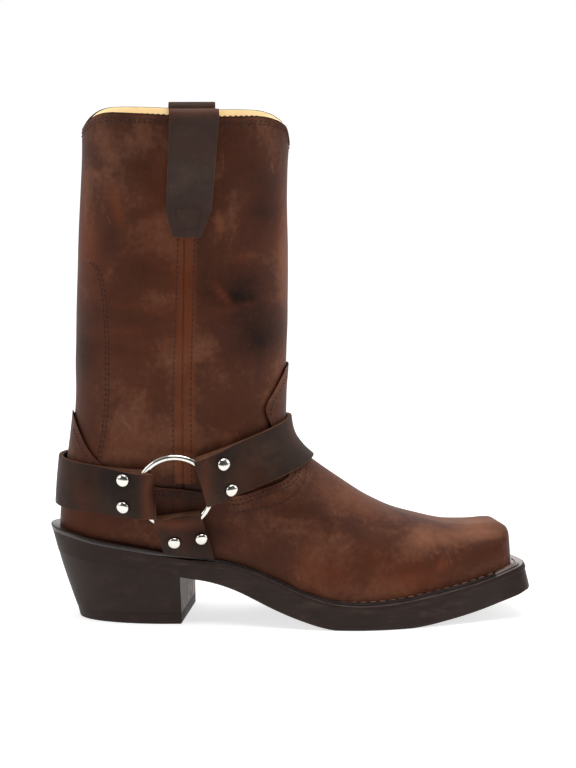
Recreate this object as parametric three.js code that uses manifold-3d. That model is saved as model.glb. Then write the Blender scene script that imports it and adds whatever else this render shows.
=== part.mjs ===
import * as THREE from 'three';
import Module from 'manifold-3d';

// Right-foot harness boot, standing empty on its sole. Millimetres, +Z up, +X to the toe,
// +Y to the inner (medial) side. The rearmost point of the heel seat is at x = 0; the finished
// group is moved so that its box is centred on the origin.
// Columns of the tables: at is x as a share of the sole length, seat is a height as a share of
// the heel seat's height, and up is a height that is 0 at the floor, 1 at the ankle and 2 at
// the top of the shaft. Depths are shares of the ball width.

// Main sizes
const SOLE_LENGTH = 303.6;
const BALL_WIDTH = 103;
const SHAFT_TOP = 325.2;
const ANKLE_HEIGHT = 110;
const SEAT_HEIGHT = 62;
const SHAFT_HALF_WIDTH = 45.5;
const UPPER_WALL = 2;
const OVERLAY_THICKNESS = 1.4;
const STRAP_THICKNESS = 2.6;
const HEEL_STRAP_STAND_OFF = 2;
const WELT_THICKNESS = 3;
const INSOLE_THICKNESS = 3;
const RING_OUTER_DIAMETER = 50;
const RING_WIRE = 4;
const RIVET_DIAMETER = 8.2;
const RIVET_HEIGHT = 2;
const PULL_STRAP_WIDTH = 29.6;
const PULL_STRAP_THICKNESS = 2.2;
const PULL_STRAP_RISE = 2.3;
const CLEARANCE = 0.3;
const SEAT_GAP = 0.45;

// Ledges and grooves of the sole
const LIP_WIDTH = 3;
const HEEL_LIP_WIDTH = 0.3;
const FOOT_TUCK = 1.6;
const WELT_INNER_INSET = 12.5;
const HEEL_LEDGE = 6.2;
const WAIST_LEDGE = 6.4;
const TOE_LEDGE = 8.2;
const SOLE_STEP = 1;
const SOLE_STEP_DROP = 3.2;
const SOLE_BEVEL = 1.6;
const SOLE_GROOVE = 0.6;
const WELT_BEVEL = 0.8;
const LIFT_BEVEL = 1;
const TOP_LIFT_THICKNESS = 7.2;
const HEEL_UNDERCUT = 17.6;
const HEEL_BULGE = 1;
const HEEL_DRAW_IN = 3.4;
const TOE_FLARE = 2.2;

// Sampling
const OUTLINE_STEPS = 28;
const RING_STEPS = 16;
const HEEL_STEPS = 12;
const WIRE_STEPS = 28;
const WIRE_SIDES = 8;

// Sole outline: outer and inner half widths as shares of the ball width. The rounding of heel
// and toe is added by the outline function.
const OUTLINE = [
  { at: 0.0, outer: 0.312, inner: 0.348 },
  { at: 0.1, outer: 0.314, inner: 0.336 },
  { at: 0.2, outer: 0.327, inner: 0.323 },
  { at: 0.264, outer: 0.342, inner: 0.302 },
  { at: 0.33, outer: 0.360, inner: 0.266 },
  { at: 0.395, outer: 0.389, inner: 0.246 },
  { at: 0.461, outer: 0.434, inner: 0.266 },
  { at: 0.527, outer: 0.483, inner: 0.325 },
  { at: 0.593, outer: 0.519, inner: 0.395 },
  { at: 0.642, outer: 0.532, inner: 0.444 },
  { at: 0.692, outer: 0.524, inner: 0.471 },
  { at: 0.741, outer: 0.496, inner: 0.475 },
  { at: 0.79, outer: 0.454, inner: 0.457 },
  { at: 0.84, outer: 0.400, inner: 0.424 },
  { at: 0.89, outer: 0.345, inner: 0.380 },
  { at: 0.932, outer: 0.300, inner: 0.338 },
  { at: 1.0, outer: 0.250, inner: 0.290 },
];
const HEEL_ROUNDING = 40;
const HEEL_TIP_ROUNDING = 60;
const HEEL_SLANT = 0.17;
const BREAST_AT = 0.29;
const BREAST_SLANT = 0.17;
const TOE_ROUNDING = 13;
const TOE_SLANT = 0.2;

// Height of the sole's upper surface at the side, along the length.
const SOLE_TOP = [
  { at: 0, seat: 1 }, { at: 0.0296, seat: 0.9726 }, { at: 0.0922, seat: 0.9032 },
  { at: 0.168, seat: 0.8355 }, { at: 0.2339, seat: 0.7774 }, { at: 0.2931, seat: 0.729 },
  { at: 0.3722, seat: 0.6774 }, { at: 0.415, seat: 0.6194 }, { at: 0.4545, seat: 0.5452 },
  { at: 0.4941, seat: 0.4613 }, { at: 0.5336, seat: 0.3806 }, { at: 0.5731, seat: 0.3226 },
  { at: 0.6094, seat: 0.2935 }, { at: 0.6456, seat: 0.2839 }, { at: 0.6983, seat: 0.2935 },
  { at: 0.7543, seat: 0.3226 }, { at: 0.8103, seat: 0.3645 }, { at: 0.8663, seat: 0.4145 },
  { at: 0.9223, seat: 0.479 }, { at: 0.9585, seat: 0.5355 }, { at: 1.0013, seat: 0.6097 },
];

// Height of the underside of the outsole; the flat run rests on the floor.
const SOLE_BOTTOM = [
  { at: 0, seat: 0.7419 }, { at: 0.1318, seat: 0.629 }, { at: 0.2701, seat: 0.5161 },
  { at: 0.3458, seat: 0.4419 }, { at: 0.3854, seat: 0.3774 }, { at: 0.4216, seat: 0.2968 },
  { at: 0.4545, seat: 0.2177 }, { at: 0.4941, seat: 0.1355 }, { at: 0.5336, seat: 0.0677 },
  { at: 0.5632, seat: 0.0258 }, { at: 0.5929, seat: 0 }, { at: 0.751, seat: 0 },
  { at: 0.7839, seat: 0.0145 }, { at: 0.8169, seat: 0.0403 }, { at: 0.8696, seat: 0.0903 },
  { at: 0.9223, seat: 0.1565 }, { at: 0.9651, seat: 0.2258 }, { at: 1.0013, seat: 0.3 },
];

// Side view of the upper: line of the heel and shaft back, upwards.
const BACK_LINE = [
  { up: 0.5091, at: 0.0257 }, { up: 0.5636, at: 0.0257 }, { up: 0.6545, at: 0.0273 },
  { up: 0.8, at: 0.0333 }, { up: 0.9455, at: 0.0415 }, { up: 1.0511, at: 0.0491 },
  { up: 1.1301, at: 0.0547 }, { up: 1.2695, at: 0.056 }, { up: 1.5065, at: 0.0619 },
  { up: 1.6831, at: 0.0665 }, { up: 1.8504, at: 0.0738 }, { up: 1.9456, at: 0.0751 },
];

// Each row is one ring of the upper: the height where it leaves the back line, the point where
// it meets the toe, instep or shin line, how much of the sole's curve it keeps and how much of
// the collar's crown.
const RINGS = [
  { back: 0.5509, at: 0.9638, up: 0.3173, sole: 1, crown: 0 },
  { back: 0.5655, at: 0.9631, up: 0.3582, sole: 0.97, crown: 0 },
  { back: 0.5873, at: 0.9618, up: 0.4036, sole: 0.92, crown: 0 },
  { back: 0.6145, at: 0.9605, up: 0.4509, sole: 0.85, crown: 0 },
  { back: 0.6418, at: 0.9578, up: 0.4982, sole: 0.77, crown: 0 },
  { back: 0.6709, at: 0.9499, up: 0.5255, sole: 0.68, crown: 0 },
  { back: 0.7018, at: 0.9308, up: 0.5355, sole: 0.59, crown: 0 },
  { back: 0.7364, at: 0.888, up: 0.5264, sole: 0.49, crown: 0 },
  { back: 0.7718, at: 0.8376, up: 0.5291, sole: 0.38, crown: 0 },
  { back: 0.8073, at: 0.7819, up: 0.5627, sole: 0.27, crown: 0 },
  { back: 0.8473, at: 0.7213, up: 0.6136, sole: 0.17, crown: 0 },
  { back: 0.8909, at: 0.6621, up: 0.6964, sole: 0.09, crown: 0 },
  { back: 0.9409, at: 0.608, up: 0.7964, sole: 0.03, crown: 0 },
  { back: 1, at: 0.5639, up: 0.8818, sole: 0, crown: 0 },
  { back: 1.0325, at: 0.529, up: 0.9582, sole: 0, crown: 0 },
  { back: 1.0674, at: 0.5033, up: 1.0279, sole: 0, crown: 0 },
  { back: 1.1069, at: 0.4928, up: 1.0906, sole: 0, crown: 0 },
  { back: 1.1626, at: 0.4941, up: 1.158, sole: 0, crown: 0 },
  { back: 1.2556, at: 0.4984, up: 1.2556, sole: 0, crown: 0 },
  { back: 1.4043, at: 0.5016, up: 1.4043, sole: 0, crown: 0 },
  { back: 1.5948, at: 0.502, up: 1.5855, sole: 0, crown: 0 },
  { back: 1.7528, at: 0.5003, up: 1.7342, sole: 0, crown: 0.3 },
  { back: 1.8643, at: 0.5007, up: 1.8271, sole: 0, crown: 0.68 },
  { back: 1.9456, at: 0.5046, up: 1.908, sole: 0, crown: 1 },
];

// Height of the collar edge in side view.
const COLLAR = [
  { at: 0.0751, up: 1.9456 }, { at: 0.084, up: 1.9651 }, { at: 0.0972, up: 1.9828 },
  { at: 0.112, up: 1.994 }, { at: 0.1383, up: 2 }, { at: 0.1976, up: 1.9981 },
  { at: 0.2767, up: 1.9926 }, { at: 0.3557, up: 1.9893 }, { at: 0.4084, up: 1.9893 },
  { at: 0.4381, up: 1.9888 }, { at: 0.4644, up: 1.9814 }, { at: 0.4842, up: 1.9679 },
  { at: 0.4967, up: 1.9489 }, { at: 0.5046, up: 1.908 },
];

// Half widths of ankle and shaft by height, as shares of the half width at the collar.
const SHAFT_WIDTH = [
  { up: 0.5455, half: 0.87 }, { up: 0.9091, half: 0.86 }, { up: 1.0558, half: 0.86 },
  { up: 1.1626, half: 0.905 }, { up: 1.3253, half: 0.955 }, { up: 1.5112, half: 0.985 },
  { up: 1.697, half: 1 }, { up: 2, half: 1.01 },
];

// Depth over which the section rounds off below the instep and toe line, and how square it is.
const RIDGE_ROUNDING = [
  { at: 0.3294, depth: 0.621, power: 2.15 }, { at: 0.5007, depth: 0.602, power: 2.15 },
  { at: 0.5336, depth: 0.524, power: 2.1 }, { at: 0.6094, depth: 0.456, power: 2.1 },
  { at: 0.6917, depth: 0.369, power: 2.15 }, { at: 0.7905, depth: 0.272, power: 2.25 },
  { at: 0.8827, depth: 0.214, power: 2.4 }, { at: 0.9321, depth: 0.184, power: 2.5 },
  { at: 0.9552, depth: 0.146, power: 2.8 }, { at: 0.9881, depth: 0.126, power: 3 },
];

// Depth over which heel and back round off, by height.
const BACK_ROUNDING = [
  { up: 0.4545, depth: 0.291 }, { up: 0.8182, depth: 0.369 }, { up: 1.0697, depth: 0.524 },
  { up: 1.2323, depth: 0.621 }, { up: 2, depth: 0.641 },
];

// Side view of the vamp's upper edge, from behind the ring forward over the throat to the
// tip of the tongue, and of the counter's upper edge.
const VAMP_EDGE = [
  { at: 0.2787, up: 0.8036 }, { at: 0.3162, up: 0.7909 }, { at: 0.3623, up: 0.7673 },
  { at: 0.3986, up: 0.7709 }, { at: 0.4414, up: 0.8082 }, { at: 0.4776, up: 0.84 },
  { at: 0.4974, up: 0.8709 }, { at: 0.5026, up: 0.9182 }, { at: 0.4908, up: 1 },
  { at: 0.4743, up: 1.0418 }, { at: 0.4621, up: 1.0836 }, { at: 0.4513, up: 1.1338 },
  { at: 0.4697, up: 1.1812 }, { at: 0.4895, up: 1.2258 }, { at: 0.4987, up: 1.2463 },
  { at: 0.527, up: 1.2556 },
];
const COUNTER_EDGE = [
  { at: 0.2767, up: 0.8055 }, { at: 0.2174, up: 0.8236 }, { at: 0.1647, up: 0.86 },
  { at: 0.1252, up: 0.9182 }, { at: 0.1038, up: 0.9655 }, { at: 0.0896, up: 1.0019 },
  { at: 0.0744, up: 1.0325 }, { at: 0.0613, up: 1.0697 }, { at: 0.0514, up: 1.0999 },
  { at: 0.0428, up: 1.1227 }, { at: 0.0132, up: 1.1301 },
];

// Harness layout in side view: ring centre, then each strap's corners at the ring (near), its
// height at the back line, and its corners at the shin or at the welt (far).
const RING_CENTRE = { at: 0.2625, up: 0.8118 };
const HEEL_STRAP = {
  topNear: { at: 0.2154, up: 0.9309 }, lowNear: { at: 0.224, up: 0.66 },
  topBack: 0.9536, lowBack: 0.68,
};
const INSTEP_STRAP = {
  topNear: { at: 0.3011, up: 0.9982 }, lowNear: { at: 0.3314, up: 0.7291 },
  topFar: 1.092, lowFar: 0.9182,
};
const DOWN_STRAP = {
  rearTop: { at: 0.2194, up: 0.6491 }, frontTop: { at: 0.3142, up: 0.6891 },
  rearFoot: 0.2404, frontFoot: 0.3439,
};
const HEEL_RIVETS = [{ at: 0.1581, up: 0.8964 }, { at: 0.1551, up: 0.7364 }];
const INSTEP_RIVETS = [{ at: 0.3574, up: 0.9764 }, { at: 0.3775, up: 0.82 }];
const DOWN_RIVETS = [{ at: 0.2622, up: 0.5145 }, { at: 0.3188, up: 0.5336 }];
const PULL_STRAP = {
  tip: { at: 0.2889, up: 1.6454 }, fold: { at: 0.305, up: 2 },
  shoulder: 1.7221, middle: 1.8643, inside: 1.7714,
};

// Finishes
const FINISH = {
  upper_leather: { color: 0x5a3527, roughness: 0.62, metalness: 0 },
  strap_leather: { color: 0x43322c, roughness: 0.6, metalness: 0 },
  sole_rubber: { color: 0x2e2725, roughness: 0.7, metalness: 0 },
  welt_rubber: { color: 0x3a2f2b, roughness: 0.72, metalness: 0 },
  insole_leather: { color: 0xb98f66, roughness: 0.8, metalness: 0 },
  nickel: { color: 0xd8d6d2, roughness: 0.18, metalness: 1 },
};

const wasm = await Module();
wasm.setup();

// Smooth value from a table, by the named columns.
function look(table, key, value, at) {
  const last = table.length - 1;
  if (at <= table[0][key]) return table[0][value];
  if (at >= table[last][key]) return table[last][value];
  let i = 0;
  while (table[i + 1][key] < at) i += 1;
  const p0 = table[Math.max(i - 1, 0)];
  const p1 = table[i];
  const p2 = table[i + 1];
  const p3 = table[Math.min(i + 2, last)];
  const span = p2[key] - p1[key];
  const t = (at - p1[key]) / span;
  const rise = p2[value] - p1[value];
  const slope = (a, b) => (b[key] === a[key] ? 0 : (b[value] - a[value]) / (b[key] - a[key]));
  const limit = (m) => (rise === 0 ? 0 : Math.max(Math.min(m * span / rise, 3), 0) * rise / span);
  const m1 = limit(i === 0 ? slope(p1, p2) : (slope(p0, p1) + slope(p1, p2)) / 2);
  const m2 = limit(i + 1 === last ? slope(p1, p2) : (slope(p1, p2) + slope(p2, p3)) / 2);
  const t2 = t * t;
  const t3 = t2 * t;
  return p1[value] * (2 * t3 - 3 * t2 + 1) + m1 * span * (t3 - 2 * t2 + t)
    + p2[value] * (3 * t2 - 2 * t3) + m2 * span * (t3 - t2);
}

const mix = (a, b, t) => a + (b - a) * t;
const clamp01 = (t) => Math.min(Math.max(t, 0), 1);
const smooth = (t) => clamp01(t) ** 2 * (3 - 2 * clamp01(t));
const roundOff = (d, depth, power) => (1 - (1 - clamp01(d / depth)) ** power) ** (1 / power);
const SHAFT_HEIGHT = SHAFT_TOP - ANKLE_HEIGHT;
const heightAt = (up) => (up <= 1 ? up * ANKLE_HEIGHT : ANKLE_HEIGHT + (up - 1) * SHAFT_HEIGHT);
const upAt = (z) => (z <= ANKLE_HEIGHT ? z / ANKLE_HEIGHT : 1 + (z - ANKLE_HEIGHT) / SHAFT_HEIGHT);
const sideSpot = ({ at, up }) => [at * SOLE_LENGTH, heightAt(up)];
const blend = (x, from, over) => smooth((x / SOLE_LENGTH - from) / over);
const soleTop = (x) => look(SOLE_TOP, 'at', 'seat', x / SOLE_LENGTH) * SEAT_HEIGHT;
const soleBottom = (x) => look(SOLE_BOTTOM, 'at', 'seat', x / SOLE_LENGTH) * SEAT_HEIGHT;

// Plan outline of the sole
function planHalf(x) {
  const at = x / SOLE_LENGTH;
  const outer = look(OUTLINE, 'at', 'outer', at) * BALL_WIDTH;
  const inner = look(OUTLINE, 'at', 'inner', at) * BALL_WIDTH;
  return { mid: (inner - outer) / 2, half: (inner + outer) / 2 };
}
const heelSlant = (x, y) => y * HEEL_SLANT * (1 - blend(x, 0, 0.13));
const toeSlant = (x, y) => -y * TOE_SLANT * blend(x, 0.741, 0.231);

function outlinePoint(share, side) {
  const x = SOLE_LENGTH * (1 - Math.cos(Math.PI * share)) / 2;
  const { mid, half } = planHalf(x);
  const ends = roundOff(x, HEEL_ROUNDING, 2.05) * roundOff(SOLE_LENGTH - x, TOE_ROUNDING, 3);
  const y = mid + side * half * ends;
  return new THREE.Vector2(x + heelSlant(x, y) + toeSlant(x, y), y);
}

// Closed plan outline: heel, along the outer side to the toe, back along the inner side.
function closedOutline(pointAt, steps) {
  const points = [];
  for (let i = 0; i < steps; i += 1) points.push(pointAt(i / steps, -1));
  for (let i = 0; i < steps; i += 1) points.push(pointAt(1 - i / steps, 1));
  return points;
}

function insetOutline(points, inset) {
  const n = points.length;
  const step = (a, b) => b.clone().sub(a).normalize();
  return points.map((p, i) => {
    const before = step(points[(i + n - 1) % n], p);
    const after = step(p, points[(i + 1) % n]);
    const along = before.add(after).normalize();
    const distance = typeof inset === 'function' ? inset(p) : inset;
    return new THREE.Vector2(p.x - along.y * distance, p.y + along.x * distance);
  });
}

// A body from closed loops of equal length, one above the other, with the ends closed across
// from side to side, or joined last to first when it is a ring. From the row crossFrom on, the
// facets are split along the other diagonal, so that two faces of a layer match.
function loopBody(loops, closed, crossFrom = Infinity) {
  const n = loops[0].length;
  const half = n / 2;
  const position = loops.flat().flatMap((p) => [p.x, p.y, p.z]);
  const index = [];
  const bands = closed ? loops.length : loops.length - 1;
  for (let l = 0; l < bands; l += 1) {
    const a = l * n;
    const b = ((l + 1) % loops.length) * n;
    for (let i = 0; i < n; i += 1) {
      const j = (i + 1) % n;
      if (l < crossFrom) index.push(a + i, a + j, b + j, a + i, b + j, b + i);
      else index.push(a + i, a + j, b + i, a + j, b + j, b + i);
    }
  }
  const cap = (base, up) => {
    for (let i = 0; i < half; i += 1) {
      const quad = [base + i, base + i + 1, base + ((n - i - 1) % n), base + ((n - i) % n)];
      if (!up) quad.reverse();
      const [a, b, c, d] = quad;
      if (a !== d && a !== c) index.push(a, b, d);
      if (b !== c && d !== c) index.push(b, c, d);
    }
  };
  if (!closed) {
    cap(0, false);
    cap((loops.length - 1) * n, true);
  }
  const geometry = new THREE.BufferGeometry();
  geometry.setAttribute('position', new THREE.Float32BufferAttribute(position, 3));
  geometry.setIndex(index);
  return geometry;
}

const lift = (points, zAt) => points.map((p) => new THREE.Vector3(p.x, p.y, zAt(p.x)));

// The upper's own form: distance below the ridge, centre line and half width in side view
const backX = (z) => look(BACK_LINE, 'up', 'at', upAt(z)) * SOLE_LENGTH;
const seatAt = (x) => soleTop(x) + SEAT_GAP;
const FIRST = RINGS[0];
const LAST = RINGS[RINGS.length - 1];
const BACK_SEAT = seatAt(backX(heightAt(FIRST.back)));
const TOE_SEAT = seatAt(FIRST.at * SOLE_LENGTH);
const backHeight = (row) => mix(heightAt(row.back), heightAt(row.back) + BACK_SEAT
  - heightAt(FIRST.back), row.sole);
const ridgeHeight = (row) => mix(heightAt(row.up), heightAt(row.up) + TOE_SEAT
  - heightAt(FIRST.up), row.sole);
const RIDGE = RINGS.map((row) => new THREE.Vector2(row.at * SOLE_LENGTH, ridgeHeight(row)));
const BELOW_TOE = new THREE.Vector2(RIDGE[0].x, 0);

function ridgeDistance(x, z) {
  const p = new THREE.Vector2(x, z);
  let best = { d: Infinity, x: RIDGE[0].x };
  let a = BELOW_TOE;
  RIDGE.forEach((b) => {
    const ab = b.clone().sub(a);
    const t = clamp01(p.clone().sub(a).dot(ab) / ab.lengthSq());
    const q = a.clone().addScaledVector(ab, t);
    const d = q.distanceTo(p);
    if (d < best.d) best = { d, x: q.x };
    a = b;
  });
  return best;
}

function ledgeAt(x) {
  return mix(mix(HEEL_LEDGE, WAIST_LEDGE, blend(x, 0.13, 0.2)), TOE_LEDGE, blend(x, 0.49, 0.3));
}

function sideForm(x, z) {
  const plan = planHalf(Math.min(x, SOLE_LENGTH));
  const rise = z - soleTop(x);
  const tuck = FOOT_TUCK * Math.exp(-Math.max(rise, 0) / (FOOT_TUCK * 3));
  const foot = plan.half - ledgeAt(x) + OVERLAY_THICKNESS - tuck;
  const shaft = look(SHAFT_WIDTH, 'up', 'half', upAt(z)) * SHAFT_HALF_WIDTH;
  const t = smooth((z / ANKLE_HEIGHT - 0.473) / 0.764);
  const ridge = ridgeDistance(x, z);
  const along = ridge.x / SOLE_LENGTH;
  const depth = look(RIDGE_ROUNDING, 'at', 'depth', along) * BALL_WIDTH;
  const power = look(RIDGE_ROUNDING, 'at', 'power', along);
  const backDepth = look(BACK_ROUNDING, 'up', 'depth', upAt(z)) * BALL_WIDTH;
  const back = roundOff(x - backX(z), backDepth, 2.1);
  return {
    footShare: 1 - t,
    mid: mix(plan.mid, 0, t),
    half: mix(foot, shaft, t) * roundOff(ridge.d, depth, power) * back,
  };
}

function formPoint(x, z, side) {
  const { mid, half, footShare } = sideForm(x, z);
  const y = mid + side * half;
  return new THREE.Vector3(x + heelSlant(x, y) * footShare + toeSlant(x, y), y, z);
}

function ringSide(row, s) {
  const base = mix(backX(BACK_SEAT), FIRST.at * SOLE_LENGTH, s);
  const sag = mix(BACK_SEAT, TOE_SEAT, s) - seatAt(base);
  const x = mix(backX(backHeight(row)), row.at * SOLE_LENGTH, s);
  const line = mix(backHeight(row), ridgeHeight(row), s);
  const top = mix(backHeight(LAST), ridgeHeight(LAST), s);
  const rimAt = mix(COLLAR[0].at, COLLAR[COLLAR.length - 1].at, s);
  const crown = heightAt(look(COLLAR, 'at', 'up', rimAt)) - top;
  return { x, z: line - sag * row.sole + crown * row.crown };
}

function ringPoint(row, share, side) {
  const s = (1 - Math.cos(Math.PI * share)) / 2;
  const { x, z } = ringSide(row, s);
  return formPoint(x, z, side);
}

const FORM = RINGS.map((row) => {
  const loop = [];
  for (let i = 0; i < RING_STEPS; i += 1) loop.push(ringPoint(row, i / RING_STEPS, -1));
  for (let i = 0; i < RING_STEPS; i += 1) loop.push(ringPoint(row, 1 - i / RING_STEPS, 1));
  return loop;
});

// Outward directions of a grid; rows may be closed on themselves.
function gridNormals(grid, closed) {
  return grid.map((row, r) => row.map((p, c) => {
    const n = row.length;
    const before = closed ? row[(c + n - 1) % n] : row[Math.max(c - 1, 0)];
    const after = closed ? row[(c + 1) % n] : row[Math.min(c + 1, n - 1)];
    const below = grid[Math.max(r - 1, 0)][c];
    const above = grid[Math.min(r + 1, grid.length - 1)][c];
    return after.clone().sub(before).cross(above.clone().sub(below)).normalize();
  }));
}

const FORM_NORMALS = gridNormals(FORM, true);

// The upper's lower edge runs in straight chords, so it is lifted where the sole arches.
function seatHeight(x) {
  const chord = SOLE_LENGTH * 0.043;
  const arch = soleTop(x) - (soleTop(x - chord) + soleTop(x + chord)) / 2;
  return soleTop(x) + SEAT_GAP + Math.max(arch, -0.45 * arch);
}

function formLoops(offset) {
  return FORM.map((loop, r) => loop.map((p, c) => {
    const q = p.clone().addScaledVector(FORM_NORMALS[r][c], offset);
    if (r === 0) q.z = seatHeight(q.x);
    if (r === FORM.length - 1) q.z = p.z;
    return q;
  }));
}

// A hollow layer of the upper's form between two distances from it.
function layer(inner, outer) {
  return loopBody([...formLoops(outer), ...formLoops(inner).reverse()], true, FORM.length);
}

// A plate of even thickness over a grid of points; distances may change along it.
function plate(grid, inner, outer) {
  const normals = gridNormals(grid, false);
  const rows = grid.length;
  const columns = grid[0].length;
  const position = [];
  const surface = (distance) => grid.forEach((row, r) => row.forEach((p, c) => {
    const d = typeof distance === 'function' ? distance(r, c, p) : distance;
    const q = p.clone().addScaledVector(normals[r][c], d);
    position.push(q.x, q.y, q.z);
  }));
  surface(outer);
  surface(inner);
  const under = rows * columns;
  const index = [];
  for (let r = 0; r + 1 < rows; r += 1) {
    for (let c = 0; c + 1 < columns; c += 1) {
      const a = r * columns + c;
      const b = a + columns;
      index.push(a, a + 1, b + 1, a, b + 1, b);
      index.push(under + a, under + b + 1, under + a + 1, under + a, under + b, under + b + 1);
    }
  }
  const rim = [];
  for (let c = 0; c < columns - 1; c += 1) rim.push(c);
  for (let r = 0; r < rows - 1; r += 1) rim.push(r * columns + columns - 1);
  for (let c = columns - 1; c > 0; c -= 1) rim.push((rows - 1) * columns + c);
  for (let r = rows - 1; r > 0; r -= 1) rim.push(r * columns);
  rim.forEach((a, i) => {
    const b = rim[(i + 1) % rim.length];
    index.push(a, under + b, b, a, under + a, under + b);
  });
  const geometry = new THREE.BufferGeometry();
  geometry.setAttribute('position', new THREE.Float32BufferAttribute(position, 3));
  geometry.setIndex(index);
  return geometry;
}

// Joins and cuts
function toSolid(geometry) {
  const index = geometry.index
    ? geometry.index.array
    : Array.from({ length: geometry.attributes.position.count }, (_, i) => i);
  const mesh = new wasm.Mesh({
    numProp: 3,
    vertProperties: new Float32Array(geometry.attributes.position.array),
    triVerts: new Uint32Array(index),
  });
  mesh.merge();
  return new wasm.Manifold(mesh);
}

function toGeometry(solid) {
  const mesh = solid.getMesh();
  const geometry = new THREE.BufferGeometry();
  geometry.setAttribute('position', new THREE.Float32BufferAttribute(mesh.vertProperties, 3));
  geometry.setIndex(Array.from(mesh.triVerts));
  return geometry;
}

// A prism across the boot over a region drawn in side view.
function sidePrism(points) {
  const shape = new THREE.Shape(points.map(([x, z]) => new THREE.Vector2(x, z)));
  const geometry = new THREE.ExtrudeGeometry(shape, { depth: BALL_WIDTH * 2, bevelEnabled: false });
  geometry.rotateX(Math.PI / 2);
  geometry.translate(0, BALL_WIDTH, 0);
  const bare = new THREE.BufferGeometry();
  bare.setAttribute('position', geometry.attributes.position);
  return toSolid(bare);
}

const group = new THREE.Group();
group.name = 'harness_boot';

function add(name, geometry, finish) {
  const bare = geometry.index ? geometry.toNonIndexed() : geometry;
  bare.deleteAttribute('uv');
  bare.computeVertexNormals();
  const material = new THREE.MeshStandardMaterial(FINISH[finish]);
  material.name = finish;
  const mesh = new THREE.Mesh(bare, material);
  mesh.name = name;
  group.add(mesh);
  return mesh;
}

// Sole: outsole with its side step and raised middle, welt, heel block and top lift
const PLAN = closedOutline(outlinePoint, OUTLINE_STEPS);
const rimTop = (x) => soleTop(x) - WELT_THICKNESS - CLEARANCE;
const heelBack = (drop) => HEEL_UNDERCUT * (drop / SEAT_HEIGHT)
  - HEEL_BULGE * Math.sin(Math.PI * clamp01(drop / SEAT_HEIGHT));
const taper = (p, drop) => heelBack(drop) * (1 - blend(p.x, 0, 0.086));
const sideStep = (inset, drop, flare) => (p) => inset + taper(p, drop)
  + flare * TOE_FLARE * blend(p.x, 0.94, 0.06);
const bevelled = (p) => SOLE_STEP + SOLE_BEVEL * blend(p.x, BREAST_AT, 0.04)
  + sideStep(0, HEEL_SEAT_DROP, -1.27)(p);
const HEEL_SEAT_DROP = SEAT_HEIGHT - soleBottom(0);
const STEP_DROP_AT_BACK = WELT_THICKNESS + SOLE_STEP_DROP;

const outsole = loopBody([
  lift(insetOutline(PLAN, bevelled), soleBottom),
  lift(
    insetOutline(PLAN, sideStep(SOLE_STEP, HEEL_SEAT_DROP - SOLE_BEVEL, -1.27)),
    (x) => soleBottom(x) + SOLE_BEVEL,
  ),
  lift(
    insetOutline(PLAN, sideStep(SOLE_STEP, STEP_DROP_AT_BACK + SOLE_GROOVE, 0.14)),
    (x) => rimTop(x) - SOLE_STEP_DROP - SOLE_GROOVE,
  ),
  lift(insetOutline(PLAN, sideStep(0, STEP_DROP_AT_BACK, 0.41)), (x) => rimTop(x) - SOLE_STEP_DROP),
  lift(insetOutline(PLAN, sideStep(0, WELT_THICKNESS, 1)), rimTop),
  lift(insetOutline(PLAN, WELT_INNER_INSET + CLEARANCE), rimTop),
  lift(insetOutline(PLAN, WELT_INNER_INSET + CLEARANCE), soleTop),
], false);
add('outsole', outsole, 'sole_rubber');

const weltOuter = (p) => mix(HEEL_LIP_WIDTH, LIP_WIDTH, blend(p.x, 0.1, 0.26))
  + TOE_FLARE * blend(p.x, 0.94, 0.06);
const welt = loopBody([
  lift(insetOutline(PLAN, weltOuter), (x) => soleTop(x) - WELT_THICKNESS),
  lift(insetOutline(PLAN, weltOuter), (x) => soleTop(x) - WELT_BEVEL),
  lift(insetOutline(PLAN, (p) => weltOuter(p) + WELT_BEVEL), soleTop),
  lift(insetOutline(PLAN, WELT_INNER_INSET), soleTop),
  lift(insetOutline(PLAN, WELT_INNER_INSET), (x) => soleTop(x) - WELT_THICKNESS),
], true);
add('welt', welt, 'welt_rubber');

// Heel: the rear of the outline, cut square at the breast and drawn in towards the floor.
const BREAST_X = BREAST_AT * SOLE_LENGTH;
function heelLoop(zAt, drop, grow) {
  const points = [];
  const inset = SOLE_STEP + HEEL_DRAW_IN * (drop / SEAT_HEIGHT) - grow;
  const back = heelBack(drop) - grow;
  const side = (share, sign) => {
    const flat = 1 - Math.cos(Math.PI * share / 2);
    const rear = back + SOLE_STEP * 0.4;
    const { mid, half } = planHalf(rear + HEEL_ROUNDING * 0.6);
    const width = half - inset;
    const depth = mix(HEEL_ROUNDING * 0.9, HEEL_TIP_ROUNDING, drop / SEAT_HEIGHT);
    const y = mid + sign * width * roundOff(flat * (BREAST_X - rear), depth, 2.05);
    const front = BREAST_X + BREAST_SLANT * y + grow;
    const x = rear + flat * (front - rear);
    return new THREE.Vector2(x + heelSlant(x, y) * (1 - drop / SEAT_HEIGHT), y);
  };
  for (let i = 0; i < HEEL_STEPS; i += 1) points.push(side(i / HEEL_STEPS, -1));
  points.push(side(1, -1));
  points.push(side(1, 1));
  for (let i = HEEL_STEPS - 1; i > 0; i -= 1) points.push(side(i / HEEL_STEPS, 1));
  return points.map((p) => new THREE.Vector3(p.x, p.y, zAt(p.x)));
}

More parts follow.
